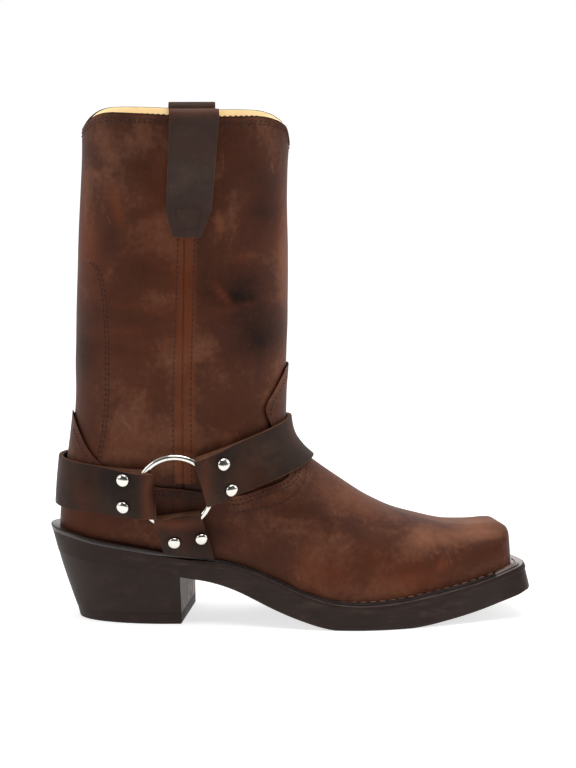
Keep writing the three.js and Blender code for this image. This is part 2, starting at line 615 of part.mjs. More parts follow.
const heelTop = (x) => soleBottom(x) - CLEARANCE;
const heelLevels = [0, 0.34, 0.67, 1].map((t) => {
  const low = TOP_LIFT_THICKNESS + CLEARANCE;
  const drop = mix(SEAT_HEIGHT - low, HEEL_SEAT_DROP, t);
  return heelLoop((x) => mix(low, heelTop(x), t), drop, 0);
});
add('heel', loopBody(heelLevels, false), 'sole_rubber');
add('top_lift', loopBody([
  heelLoop(() => 0, SEAT_HEIGHT, -LIFT_BEVEL * 0.8),
  heelLoop(() => LIFT_BEVEL, SEAT_HEIGHT - LIFT_BEVEL, 0),
  heelLoop(() => TOP_LIFT_THICKNESS, SEAT_HEIGHT - TOP_LIFT_THICKNESS, 0),
], false), 'sole_rubber');

// Upper: one hollow body, open at the collar and underneath
add('upper', layer(-UPPER_WALL, 0), 'upper_leather');

// Insole: closes the foot inside the wall
const footLoop = closedOutline((share, side) => {
  const p = ringPoint(RINGS[0], share, side);
  return new THREE.Vector2(p.x, p.y);
}, OUTLINE_STEPS);
const insideLoop = insetOutline(footLoop, UPPER_WALL + CLEARANCE * 4);
const insole = loopBody([
  lift(insideLoop, (x) => soleTop(x) + SEAT_GAP),
  lift(insideLoop, (x) => soleTop(x) + SEAT_GAP + INSOLE_THICKNESS),
], false);
add('insole', insole, 'insole_leather');

// Overlays: vamp and counter lie on the upper
const overlay = toSolid(layer(CLEARANCE, CLEARANCE + OVERLAY_THICKNESS));
const vampLine = VAMP_EDGE.map(sideSpot);
const counterLine = COUNTER_EDGE.map(sideSpot);
const [seamX] = vampLine[0];
const below = -SEAT_HEIGHT / 2;
const ahead = SOLE_LENGTH * 1.1;
const behind = -SOLE_LENGTH * 0.1;
const vampRegion = [...vampLine, [ahead, vampLine[vampLine.length - 1][1]], [ahead, below],
  [seamX, below]];
const counterRegion = [...counterLine, [behind, counterLine[counterLine.length - 1][1]],
  [behind, below], [seamX - CLEARANCE, below], [seamX - CLEARANCE, counterLine[0][1]]];
add('vamp', toGeometry(overlay.intersect(sidePrism(vampRegion))), 'upper_leather');
add('counter', toGeometry(overlay.intersect(sidePrism(counterRegion))), 'upper_leather');

// Harness: rings, straps that fold round them, and rivets
const STRAP_INNER = CLEARANCE + OVERLAY_THICKNESS + CLEARANCE + 0.6;
const STRAP_OUTER = STRAP_INNER + STRAP_THICKNESS;
const RING_RADIUS = (RING_OUTER_DIAMETER - RING_WIRE) / 2;
const RING_STAND = STRAP_OUTER + 0.2 + RING_WIRE / 2;
const FOLD_OUTER = RING_STAND + RING_WIRE / 2 + 0.2 + STRAP_THICKNESS;

// Plane of each ring, fitted to the form at the ring's own height and length.
const [ringX, ringZ] = sideSpot(RING_CENTRE);
function ringFrame(side) {
  const at = (dx, dz) => formPoint(ringX + dx, ringZ + dz, side);
  const along = at(RING_RADIUS, 0).sub(at(-RING_RADIUS, 0)).normalize();
  const up = at(0, RING_RADIUS).sub(at(0, -RING_RADIUS)).normalize();
  const out = along.clone().cross(up).multiplyScalar(-side).normalize();
  const spots = [at(0, 0)];
  for (let i = 0; i < 12; i += 1) {
    const a = i * Math.PI / 6;
    spots.push(at(RING_RADIUS * Math.cos(a), RING_RADIUS * Math.sin(a)));
  }
  const reach = Math.max(...spots.map((p) => p.dot(out)));
  const centre = at(0, 0);
  centre.addScaledVector(out, reach - centre.dot(out) + RING_STAND);
  return { centre, along, up: along.clone().cross(out).multiplyScalar(side), out };
}

function torusGeometry(frame, wire, sides) {
  const geometry = new THREE.TorusGeometry(RING_RADIUS, wire, sides, WIRE_STEPS);
  const basis = new THREE.Matrix4().makeBasis(
    frame.along,
    frame.out.clone().cross(frame.along),
    frame.out,
  );
  geometry.applyMatrix4(basis);
  geometry.translate(frame.centre.x, frame.centre.y, frame.centre.z);
  const bare = new THREE.BufferGeometry();
  bare.setAttribute('position', geometry.attributes.position);
  bare.setIndex(geometry.index);
  return bare;
}

// How far a strap's outer face stands off near the ring it folds round.
function foldRise(frame, p) {
  const r = Math.hypot(p.x - ringX, p.z - ringZ);
  const away = Math.abs(r - RING_RADIUS);
  const reach = r < RING_RADIUS ? RING_WIRE * 1.65 : RING_WIRE * 6.5;
  const height = frame.centre.clone().sub(p).dot(frame.out) + FOLD_OUTER - RING_STAND;
  const t = clamp01((away - RING_WIRE * 0.6) / reach);
  const shape = r < RING_RADIUS ? Math.sqrt(Math.max(1 - t * t, 0)) : 1 - smooth(t);
  return STRAP_OUTER + Math.max(height - STRAP_OUTER, 0) * shape;
}

const pieces = [{ side: -1, tag: 'outer' }, { side: 1, tag: 'inner' }];
const frames = pieces.map(({ side }) => ringFrame(side));
const ringSolids = frames.map((f) => toSolid(torusGeometry(f, RING_WIRE / 2, WIRE_SIDES)));
const ringHoles = frames.map((f) => toSolid(
  torusGeometry(f, RING_WIRE / 2 + CLEARANCE * 1.4, WIRE_SIDES - 2),
));
pieces.forEach(({ tag }, i) => add(`ring_${tag}`, toGeometry(ringSolids[i]), 'nickel'));

// A strap that goes from the ring on one side round to the ring on the other.
function wrapGrid(lineAt, shares, rows) {
  const grid = [];
  for (let r = 0; r <= rows; r += 1) {
    const { near, far } = lineAt(r / rows);
    const row = [];
    const place = (s, side) => formPoint(mix(near[0], far[0], s), mix(near[1], far[1], s), side);
    shares.forEach((s) => row.push(place(s, -1)));
    shares.slice(0, -1).reverse().forEach((s) => row.push(place(s, 1)));
    grid.push(row);
  }
  return grid;
}

// The heel strap's upper edge stands off the back, its lower edge lies closer.
const LOW_EDGE_SHARE = 0.1;
function strapPlate(grid, flip, standOff) {
  const ordered = flip ? grid.map((row) => [...row].reverse()) : grid;
  const half = (ordered[0].length - 1) / 2;
  const share = (r) => mix(LOW_EDGE_SHARE, 1, r / (ordered.length - 1));
  const away = (r, c) => standOff * share(r) * smooth(1 - 2 * Math.abs(c - half) / half);
  return plate(ordered, (r, c) => STRAP_INNER + away(r, c), (r, c, p) => {
    const outerFirst = ordered[0][0].y < 0;
    const isOuter = outerFirst ? c <= half : c >= half;
    return foldRise(frames[isOuter ? 0 : 1], p) + away(r, c);
  });
}

const mixSpot = (a, b, t) => sideSpot({ at: mix(a.at, b.at, t), up: mix(a.up, b.up, t) });
const WRAP_SHARES = [0, 0.05, 0.1, 0.17, 0.25, 0.36, 0.5, 0.64, 0.77, 0.88, 0.96, 1];

const heelGrid = wrapGrid((t) => {
  const z = heightAt(mix(HEEL_STRAP.lowBack, HEEL_STRAP.topBack, t));
  return { near: mixSpot(HEEL_STRAP.lowNear, HEEL_STRAP.topNear, t), far: [backX(z), z] };
}, WRAP_SHARES, 2);

function ridgeX(z) {
  const i = RIDGE.findIndex((p, k) => k > 8 && p.y > z);
  return mix(RIDGE[i - 1].x, RIDGE[i].x, (z - RIDGE[i - 1].y) / (RIDGE[i].y - RIDGE[i - 1].y));
}
const instepGrid = wrapGrid((t) => {
  const z = heightAt(mix(INSTEP_STRAP.lowFar, INSTEP_STRAP.topFar, t));
  return { near: mixSpot(INSTEP_STRAP.lowNear, INSTEP_STRAP.topNear, t), far: [ridgeX(z), z] };
}, WRAP_SHARES, 2);

function seatRivets(solid, seats) {
  return seats.reduce((rest, seat) => rest.subtract(seat), solid);
}

// Rivets: a domed head over a short shank in a blind hole
const RIVET_SHANK = 1.6;
const SHANK_LENGTH = 1.5;
function facing(at, side) {
  const out = at(4, 0).sub(at(-4, 0)).cross(at(0, 4).sub(at(0, -4))).normalize();
  return out.y * side < 0 ? out.negate() : out;
}

function rivetAxis(spot, side) {
  const [x, z] = sideSpot(spot);
  const skin = (dx, dz) => {
    const at = (ex, ez) => formPoint(x + dx + ex, z + dz + ez, side);
    const p = at(0, 0);
    return p.clone().addScaledVector(facing(at, side), foldRise(frames[side < 0 ? 0 : 1], p));
  };
  return { foot: skin(0, 0), out: facing(skin, side) };
}

function turned(profile, sides, axis, height) {
  const points = profile.map(([r, h]) => new THREE.Vector2(r, h));
  const geometry = new THREE.LatheGeometry(points, sides);
  const bare = new THREE.BufferGeometry();
  bare.setAttribute('position', geometry.attributes.position);
  bare.setIndex(geometry.index);
  const turn = new THREE.Quaternion().setFromUnitVectors(new THREE.Vector3(0, 1, 0), axis.out);
  bare.applyQuaternion(turn);
  const seat = axis.foot.clone().addScaledVector(axis.out, height);
  bare.translate(seat.x, seat.y, seat.z);
  return toSolid(bare);
}

const headRadius = RIVET_DIAMETER / 2;
const headProfile = [[0, -SHANK_LENGTH], [RIVET_SHANK, -SHANK_LENGTH], [RIVET_SHANK, 0],
  [headRadius, 0], [headRadius * 0.78, RIVET_HEIGHT * 0.7], [0, RIVET_HEIGHT]];
const holeRadius = RIVET_SHANK + CLEARANCE;
const holeProfile = [[0, -SHANK_LENGTH - CLEARANCE * 2], [holeRadius, -SHANK_LENGTH - CLEARANCE * 2],
  [holeRadius, 8], [0, 8]];

function rivetsFor(spots, side) {
  return spots.map((spot) => {
    const axis = rivetAxis(spot, side);
    return {
      head: turned(headProfile, 10, axis, SEAT_GAP),
      hole: turned(holeProfile, 6, axis, SEAT_GAP),
    };
  });
}

function finishStrap(name, geometry, spots, sides) {
  let solid = toSolid(geometry);
  sides.forEach((side) => {
    solid = solid.subtract(ringHoles[side < 0 ? 0 : 1]);
    const rivets = rivetsFor(spots, side);
    solid = seatRivets(solid, rivets.map((r) => r.hole));
    rivets.forEach((r, i) => {
      const tag = side < 0 ? 'outer' : 'inner';
      const label = name.replace(/_strap.*$/, '');
      add(`rivet_${label}_${tag}_${i + 1}`, toGeometry(r.head), 'nickel');
    });
  });
  add(name, toGeometry(solid), 'strap_leather');
}

finishStrap('heel_strap', strapPlate(heelGrid, true, HEEL_STRAP_STAND_OFF), HEEL_RIVETS, [-1, 1]);
finishStrap('instep_strap', strapPlate(instepGrid, false, 0), INSTEP_RIVETS, [-1, 1]);

// Strap from the ring down to the welt, one on each side
pieces.forEach(({ side, tag }) => {
  const grid = [];
  const shares = [0, 0.1, 0.22, 0.36, 0.5, 0.64, 0.82, 1];
  [0, 0.34, 0.67, 1].forEach((t) => {
    const [topX, topZ] = mixSpot(DOWN_STRAP.rearTop, DOWN_STRAP.frontTop, t);
    const footX = mix(DOWN_STRAP.rearFoot, DOWN_STRAP.frontFoot, t) * SOLE_LENGTH;
    const footZ = soleTop(footX) + OVERLAY_THICKNESS;
    grid.push(shares.map((s) => formPoint(mix(topX, footX, s), mix(topZ, footZ, s), side)));
  });
  const ordered = side > 0 ? grid.map((row) => [...row].reverse()) : grid;
  const body = plate(ordered, STRAP_INNER, (r, c, p) => foldRise(frames[side < 0 ? 0 : 1], p));
  finishStrap(`down_strap_${tag}`, body, DOWN_RIVETS, [side]);
});

// Pull straps: a loop over the collar, down the outside to a tapered tip and down the inside
pieces.forEach(({ side, tag }) => {
  const [tipX, tipZ] = sideSpot(PULL_STRAP.tip);
  const [foldX, shaftTop] = sideSpot(PULL_STRAP.fold);
  const rim = heightAt(look(COLLAR, 'at', 'up', PULL_STRAP.fold.at));
  const top = rim + PULL_STRAP_RISE;
  const bend = PULL_STRAP_THICKNESS * 0.7;
  const behindWall = -UPPER_WALL - PULL_STRAP_THICKNESS * 1.5;
  const path = [
    { z: tipZ, wide: 0.57, off: 0 }, { z: heightAt(PULL_STRAP.shoulder), wide: 0.94, off: 0 },
    { z: heightAt(PULL_STRAP.middle), wide: 1, off: 0 }, { z: rim - bend * 2, wide: 1, off: 0.3 },
    { z: top - bend, wide: 1.02, off: 0.2 },
    { z: top, wide: 1.02, off: -1.6 - UPPER_WALL / 2 },
    { z: top - bend, wide: 1.02, off: behindWall },
    { z: rim - bend * 2, wide: 1, off: behindWall - 0.1 },
    { z: heightAt(PULL_STRAP.middle), wide: 1, off: behindWall },
    { z: heightAt(PULL_STRAP.inside), wide: 1, off: behindWall },
  ];
  const grid = path.map((row) => [-1, -0.5, 0, 0.5, 1].map((u) => {
    const middle = mix(tipX, foldX, clamp01((row.z - tipZ) / (rim - tipZ)));
    const x = middle + u * PULL_STRAP_WIDTH / 2 * row.wide;
    const p = formPoint(x, Math.min(row.z, shaftTop), side);
    p.y += side * (row.off + CLEARANCE);
    p.z = row.z;
    return p;
  }));
  const ordered = side < 0 ? grid : grid.map((row) => [...row].reverse());
  add(`pull_strap_${tag}`, plate(ordered, 0, PULL_STRAP_THICKNESS), 'strap_leather');
});

// Centre the whole on the origin, standing on the floor
const box = new THREE.Box3().setFromObject(group);
const centre = box.getCenter(new THREE.Vector3());
group.children.forEach((mesh) => mesh.geometry.translate(-centre.x, -centre.y, -box.min.z));

export default group;
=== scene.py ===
"""Looks of the harness boot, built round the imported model.

Shapes are worked out in millimetres with the rearmost point of the heel seat at x = 0 and the
floor at z = 0; ``place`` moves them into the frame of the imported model, in metres.
"""

import logging
import math
from dataclasses import dataclass, field
from enum import Enum
from typing import Callable, Optional, Sequence

import bpy
import numpy as np
from mathutils import Matrix, Vector


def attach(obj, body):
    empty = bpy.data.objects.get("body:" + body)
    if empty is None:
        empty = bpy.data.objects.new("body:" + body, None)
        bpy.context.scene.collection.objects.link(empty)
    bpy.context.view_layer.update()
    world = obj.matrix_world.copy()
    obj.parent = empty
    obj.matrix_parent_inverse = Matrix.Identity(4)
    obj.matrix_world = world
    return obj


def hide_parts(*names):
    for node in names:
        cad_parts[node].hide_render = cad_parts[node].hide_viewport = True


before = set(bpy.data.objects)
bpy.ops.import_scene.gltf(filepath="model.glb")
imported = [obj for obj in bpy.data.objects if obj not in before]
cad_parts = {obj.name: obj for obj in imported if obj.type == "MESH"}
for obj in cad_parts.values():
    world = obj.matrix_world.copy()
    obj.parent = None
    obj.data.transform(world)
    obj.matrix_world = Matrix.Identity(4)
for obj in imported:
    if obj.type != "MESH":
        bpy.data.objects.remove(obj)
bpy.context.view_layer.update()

LOG = logging.getLogger("harness_boot")
MM = 0.001
CENTRE = np.array([153.791, -2.362, 0.0])

# Columns: share of the sole length, outer and inner half width as shares of the ball width
OUTLINE = (
    (0.0, 0.312, 0.348), (0.1, 0.314, 0.336), (0.2, 0.327, 0.323), (0.264, 0.342, 0.302),
    (0.33, 0.360, 0.266), (0.395, 0.389, 0.246), (0.461, 0.434, 0.266), (0.527, 0.483, 0.325),
    (0.593, 0.519, 0.395), (0.642, 0.532, 0.444), (0.692, 0.524, 0.471), (0.741, 0.496, 0.475),
    (0.79, 0.454, 0.457), (0.84, 0.400, 0.424), (0.89, 0.345, 0.380), (0.932, 0.300, 0.338),
    (1.0, 0.250, 0.290),
)
# Columns: x, z
SOLE_TOP = (
    (0, 62), (9, 60.3), (28, 56), (51, 51.8), (71, 48.2), (89, 45.2), (113, 42), (126, 38.4),
    (138, 33.8), (150, 28.6), (162, 23.6), (174, 20), (185, 18.2), (196, 17.6), (212, 18.2),
    (229, 20), (246, 22.6), (263, 25.7), (280, 29.7), (291, 33.2), (304, 37.8),
)
SOLE_BOTTOM = (
    (0, 46), (40, 39), (82, 32), (105, 27.4), (117, 23.4), (128, 18.4), (138, 13.5), (150, 8.4),
    (162, 4.2), (171, 1.6), (180, 0), (228, 0), (238, 0.9), (248, 2.5), (264, 5.6), (280, 9.7),
    (293, 14), (304, 18.6),
)
# Columns: z, x
BACK_LINE = (
    (56, 7.8), (62, 7.8), (72, 8.3), (88, 10.1), (104, 12.6), (121, 14.9), (138, 16.6), (168, 17),
    (219, 18.8), (257, 20.2), (293, 22.4), (313.5, 22.8),
)
# Columns: height at the back, x and z at the ridge, share of the sole's curve, of the crown
RINGS = (
    (60.6, 292.6, 34.9, 1, 0), (62.2, 292.4, 39.4, 0.97, 0), (64.6, 292, 44.4, 0.92, 0),
    (67.6, 291.6, 49.6, 0.85, 0), (70.6, 290.8, 54.8, 0.77, 0), (73.8, 288.4, 57.8, 0.68, 0),
    (77.2, 282.6, 58.9, 0.59, 0), (81, 269.6, 57.9, 0.49, 0), (84.9, 254.3, 58.2, 0.38, 0),
    (88.8, 237.4, 61.9, 0.27, 0), (93.2, 219, 67.5, 0.17, 0), (98, 201, 76.6, 0.09, 0),
    (103.5, 184.6, 87.6, 0.03, 0), (110, 171.2, 97, 0, 0), (117, 160.6, 105.4, 0, 0),
    (124.5, 152.8, 116, 0, 0), (133, 149.6, 129.5, 0, 0), (145, 150, 144, 0, 0),
    (165, 151.3, 165, 0, 0), (197, 152.3, 197, 0, 0), (238, 152.4, 236, 0, 0),
    (272, 151.9, 268, 0, 0.3), (296, 152, 288, 0, 0.68), (313.5, 153.2, 305.4, 0, 1),
)
# Columns: x, z
COLLAR = (
    (22.8, 313.5), (25.5, 317.7), (29.5, 321.5), (34, 323.9), (42, 325.2), (60, 324.8),
    (84, 323.6), (108, 322.9), (124, 322.9), (133, 322.8), (141, 321.2), (147, 318.3),
    (150.8, 314.2), (153.2, 305.4),
)
# Columns: z, share of the half width at the collar
SHAFT_WIDTH = (
    (60, 0.87), (100, 0.86), (122, 0.86), (145, 0.905), (180, 0.955), (220, 0.985), (260, 1),
    (325.2, 1.01),
)
# Columns: x at the ridge, depth of the rounding, squareness
RIDGE_ROUNDING = (
    (100, 64, 2.15), (152, 62, 2.15), (162, 54, 2.1), (185, 47, 2.1), (210, 38, 2.15),
    (240, 28, 2.25), (268, 22, 2.4), (283, 19, 2.5), (290, 15, 2.8), (300, 13, 3),
)
# Columns: z, depth of the rounding
BACK_ROUNDING = ((50, 30), (90, 38), (125, 54), (160, 64), (325, 66))

# Side view of the overlays' upper edges. Columns: x, z
VAMP_EDGE = (
    (84.6, 88.4), (96, 87), (110, 84.4), (121, 84.8), (134, 88.9), (145, 92.4), (151, 95.8),
    (152.6, 101), (149, 110), (144, 119), (140.3, 128), (137, 138.8), (142.6, 149),
    (148.6, 158.6), (151.4, 163), (160, 165),
)
COUNTER_EDGE = (
    (84, 88.6), (66, 90.6), (50, 94.6), (38, 101), (31.5, 106.2), (27.2, 110.4),
    (22.6, 117), (18.6, 125), (15.6, 131.5), (13, 136.4), (4, 138),
)
# Side seam of the shaft. Columns: z, x
SIDE_SEAM = ((30, 84.6), (102.7, 84.6), (147.5, 84.4), (244, 86.0), (330, 87.2))

Array = np.ndarray


def place(points: Array) -> Array:
    """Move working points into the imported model's frame.

    Args:
        points: Array whose last axis is x, y, z in millimetres.

    Returns:
        The same points in metres.
    """
    return (np.asarray(points, float) - CENTRE) * MM


def curve(table: Sequence[Sequence[float]], at: Array, column: int = 1) -> Array:
    """Read a smooth value from a table.

    Args:
        table: Rows in rising order of their first column.
        at: Where to read, in the first column's unit.
        column: Column to read.

    Returns:
        Values of the same shape as ``at``.
    """
    keys = np.array([row[0] for row in table], float)
    values = np.array([row[column] for row in table], float)
    at = np.clip(np.asarray(at, float), keys[0], keys[-1])
    i = np.clip(np.searchsorted(keys, at, side="left") - 1, 0, len(keys) - 2)
    secant = np.diff(values) / np.diff(keys)
    slopes = np.concatenate([secant[:1], (secant[1:] + secant[:-1]) / 2, secant[-1:]])
    span = keys[i + 1] - keys[i]
    rise = values[i + 1] - values[i]
    safe = np.where(rise == 0, 1, rise)

    def limit(slope: Array) -> Array:
        """Keep a slope from overshooting its interval."""
        return np.where(rise == 0, 0, np.clip(slope * span / safe, 0, 3) * rise / span)

    t = (at - keys[i]) / span
    m1, m2 = limit(slopes[i]), limit(slopes[i + 1])
    return (values[i] * (2 * t**3 - 3 * t**2 + 1) + m1 * span * (t**3 - 2 * t**2 + t)
            + values[i + 1] * (3 * t**2 - 2 * t**3) + m2 * span * (t**3 - t**2))


def mix(a: Array, b: Array, t: Array) -> Array:
    """Value at share t between a and b."""
    return a + (b - a) * t


def smooth(t: Array) -> Array:
    """Soft step from 0 to 1."""
    t = np.clip(t, 0, 1)
    return t * t * (3 - 2 * t)


def round_off(distance: Array, depth: Array, power: Array) -> Array:
    """Share of the full width at a distance from a rounded edge."""
    return (1 - (1 - np.clip(distance / depth, 0, 1)) ** power) ** (1 / power)


def round_slope(distance: Array, depth: Array, power: Array) -> Array:
    """Slope of ``round_off`` along the distance."""
    u = np.clip(distance / depth, 2e-4, 1)
    rest = 1 - (1 - u) ** power
    return rest ** (1 / power - 1) * (1 - u) ** (power - 1) / depth


def unit(vectors: Array) -> Array:
    """Vectors of length one."""
    length = np.linalg.norm(vectors, axis=-1, keepdims=True)
    return vectors / np.where(length < 1e-9, 1, length)


def spline(points: Sequence[Sequence[float]], steps: int) -> Array:
    """Smooth open curve through points.

    Args:
        points: Control points.
        steps: Points made for each span.

    Returns:
        The curve's points, ends included.
    """
    p = np.asarray(points, float)
    p = np.vstack([2 * p[0] - p[1], p, 2 * p[-1] - p[-2]])
    out = []
    for k in range(1, len(p) - 2):
        for t in np.arange(steps) / steps:
            out.append(0.5 * (2 * p[k] + (p[k + 1] - p[k - 1]) * t
                              + (2 * p[k - 1] - 5 * p[k] + 4 * p[k + 1] - p[k + 2]) * t**2
                              + (3 * p[k] - p[k - 1] - 3 * p[k + 1] + p[k + 2]) * t**3))
    out.append(p[-2])
    return np.array(out)


def resample(points: Array, pitch: float) -> tuple[Array, Array]:
    """Even steps along a line.

    Args:
        points: Line of points.
        pitch: Distance wanted between steps.

    Returns:
        The middle of each step and its direction.
    """
    run = np.concatenate([[0], np.cumsum(np.linalg.norm(np.diff(points, axis=0), axis=1))])
    count = max(int(run[-1] / pitch), 1)
    marks = (np.arange(count) + 0.5) * run[-1] / count
    reach = pitch * 0.3

    def at(s: Array) -> Array:
        """Point at a length along the line."""
        return np.stack([np.interp(s, run, points[:, k]) for k in range(3)], axis=1)

    return at(marks), unit(at(marks + reach) - at(marks - reach))


@dataclass(frozen=True)
class Crease:
    """Soft trough or ridge pressed into the leather, drawn in side view.

    Attributes:
        start: x and z where it begins.
        end: x and z where it ends.
        depth: Depth in millimetres; a ridge is negative.
        width: Half width in millimetres.
        side: -1 outer side, 1 inner side, 0 both.
    """

    start: tuple[float, float]
    end: tuple[float, float]
    depth: float
    width: float
    side: int = 0

    def relief(self, x: Array, z: Array, side: Array) -> Array:
        """Offset along the surface's own direction at points of the side view."""
        ax, az = self.start
        dx, dz = self.end[0] - ax, self.end[1] - az
        t = np.clip(((x - ax) * dx + (z - az) * dz) / (dx * dx + dz * dz), 0, 1)
        away = np.hypot(x - ax - t * dx, z - az - t * dz) / self.width
        fade = 0.35 + 0.65 * np.sin(np.pi * np.clip(t, 0.02, 0.98))
        here = 1.0 if self.side == 0 else (np.sign(side) == self.side)
        return -self.depth * fade * np.exp(-away * away) * here


CREASES = (
    Crease((20, 150), (78, 158), 0.7, 9), Crease((34, 131), (80, 141), 0.6, 8),
    Crease((150, 150), (100, 138), 0.6, 9), Crease((148, 176), (104, 186), 0.5, 10),
    Crease((18, 178), (60, 190), 0.4, 10), Crease((22, 262), (70, 246), 0.5, 14),
    Crease((150, 268), (108, 236), 0.5, 15), Crease((104, 214), (146, 204), 0.4, 10),
    Crease((196, 70), (176, 46), 0.45, 8), Crease((214, 62), (205, 36), 0.4, 8),
    Crease((236, 52), (262, 36), 0.35, 7), Crease((120, 66), (150, 58), 0.4, 9),
    Crease((148, 120), (112, 112), 0.7, 8), Crease((30, 84), (62, 74), 0.4, 9),
    Crease((28, 205), (70, 214), -0.4, 16), Crease((110, 276), (146, 290), -0.4, 16),
)


@dataclass
class Last:
    """Form of the foot and shaft over which the leather is drawn, in millimetres."""

    sole_length: float = 303.6
    ball_width: float = 103.0
    shaft_half_width: float = 45.5
    heel_rounding: float = 40.0
    toe_rounding: float = 13.0
    toe_slant: float = 0.2
    heel_slant: float = 0.17
    seat_gap: float = 0.15
    tuck: float = 1.6
    overlay: float = 1.4
    toe_flare: float = 2.2
    back_columns: int = 30
    front_columns: int = 56
    ridge: Array = field(init=False)

    def __post_init__(self) -> None:
        """Draw the ridge line of toe, instep and shin."""
        at = np.linspace(0, len(RINGS) - 1, 8 * len(RINGS))
        line = np.stack([self.row(at, 1), self.row(at, 2)], axis=1)
        below = np.array([[line[0, 0], line[0, 1] - 30]])
        self.ridge = np.vstack([below, line])

    def row(self, at: Array, column: int) -> Array:
        """Column of the table of rings at a fractional row."""
        table = [(i, *ring) for i, ring in enumerate(RINGS)]
        return curve(table, at, column + 1)

    def sole_top(self, x: Array) -> Array:
        """Height of the sole's upper surface."""
        return curve(SOLE_TOP, x)

    def sole_bottom(self, x: Array) -> Array:
        """Height of the outsole's underside."""
        return curve(SOLE_BOTTOM, x)

    def plan_half(self, x: Array) -> tuple[Array, Array]:
        """Centre line and half width of the sole in plan."""
        at = np.asarray(x, float) / self.sole_length
        outer = curve(OUTLINE, at, 1) * self.ball_width
        inner = curve(OUTLINE, at, 2) * self.ball_width
        return (inner - outer) / 2, (inner + outer) / 2

    def slant(self, x: Array, y: Array, foot: Array = 1.0) -> Array:
        """How far the square toe and the heel's back lean across the foot."""
        heel = self.heel_slant * (1 - smooth(x / 39.5)) * foot
        return y * (heel - self.toe_slant * smooth((x - 225) / 70))

    def foot_share(self, z: Array) -> Array:
        """1 where the form follows the sole, 0 where it follows the shaft."""
        return 1 - smooth((z - 52) / 84)

    def outline(self, steps: int) -> Array:
        """Closed plan outline of the sole, outer side first."""
        share = np.arange(steps) / steps
        both = []
        for side, s in ((-1, share), (1, 1 - share)):
            x = self.sole_length * (1 - np.cos(np.pi * s)) / 2
            mid, half = self.plan_half(x)
            ends = (round_off(x, self.heel_rounding, 2.05)
                    * round_off(self.sole_length - x, self.toe_rounding, 3))
            y = mid + side * half * ends
            both.append(np.stack([x + self.slant(x, y), y], axis=1))
        return np.vstack(both)

    def back_x(self, z: Array) -> Array:
        """Back line of heel and shaft."""
        return curve(BACK_LINE, z)

    def seam_x(self, z: Array) -> Array:
        """Line of the side seam."""
        return curve(SIDE_SEAM, z)

    def ledge(self, x: Array) -> Array:
        """How far the sole stands out past the upper."""
        rear = mix(6.2, 6.4, smooth((x - 39.5) / 60.7))
        return mix(rear, 8.2, smooth((x - 148.8) / 91))

    def ridge_distance(self, x: Array, z: Array) -> tuple[Array, Array, Array]:
        """Distance to the ridge line, x of its nearest point, and the way inwards."""
        shape = x.shape
        p = np.stack([x.ravel(), z.ravel()], axis=1)[:, None, :]
        a, b = self.ridge[:-1][None], self.ridge[1:][None]
        ab = b - a
        t = np.clip(((p - a) * ab).sum(-1) / (ab * ab).sum(-1), 0, 1)
        q = a + ab * t[..., None]
        d = np.linalg.norm(q - p, axis=-1)
        best = d.argmin(axis=1)
        rows = np.arange(len(d))
        run = unit(ab[0])[best]
        flat = np.stack([-run[:, 1], run[:, 0]], axis=1)
        away = p[:, 0] - q[rows, best]
        near = d[rows, best][:, None]
        inward = np.where(near > 0.5, away / np.maximum(near, 1e-6), flat)
        return (near.reshape(shape), q[rows, best, 0].reshape(shape),
                inward.reshape(*shape, 2))

    def widths(self, x: Array, z: Array) -> tuple[Array, Array]:
        """Centre line and half width of the form before its edges are rounded."""
        mid, half = self.plan_half(np.minimum(x, self.sole_length))
        rise = z - self.sole_top(x)
        tuck = self.tuck * np.exp(-np.maximum(rise, 0) / (self.tuck * 3))
        foot = half - self.ledge(x) + self.overlay - tuck
        shaft = curve(SHAFT_WIDTH, z) * self.shaft_half_width
        t = self.foot_share(z)
        return mid * t, mix(shaft, foot, t)

    def roundings(self, x: Array, z: Array) -> tuple:
        """Distance, depth and squareness of the ridge's rounding, then of the back's."""
        distance, near, inward = self.ridge_distance(x, z)
        front = (distance, curve(RIDGE_ROUNDING, near, 1), curve(RIDGE_ROUNDING, near, 2))
        back = (x - self.back_x(z), curve(BACK_ROUNDING, z), 2.1)
        return front, back, inward

    def side_form(self, x: Array, z: Array) -> tuple[Array, Array]:
        """Centre line and half width of the form at points of the side view."""
        mid, wide = self.widths(x, z)
        front, back, _ = self.roundings(x, z)
        return mid, wide * round_off(*front) * round_off(*back)

    def point(self, x: Array, z: Array, side: Array) -> Array:
        """Point of the bare form."""
        x, z = np.broadcast_arrays(np.asarray(x, float), np.asarray(z, float))
        mid, half = self.side_form(x, z)
        y = mid + side * half
        return np.stack([x + self.slant(x, y, self.foot_share(z)), y, z], axis=-1)

    def creased(self, x: Array, z: Array, side: Array) -> Array:
        """Offset of all creases at points of the side view."""
        return sum(crease.relief(x, z, side) for crease in CREASES)

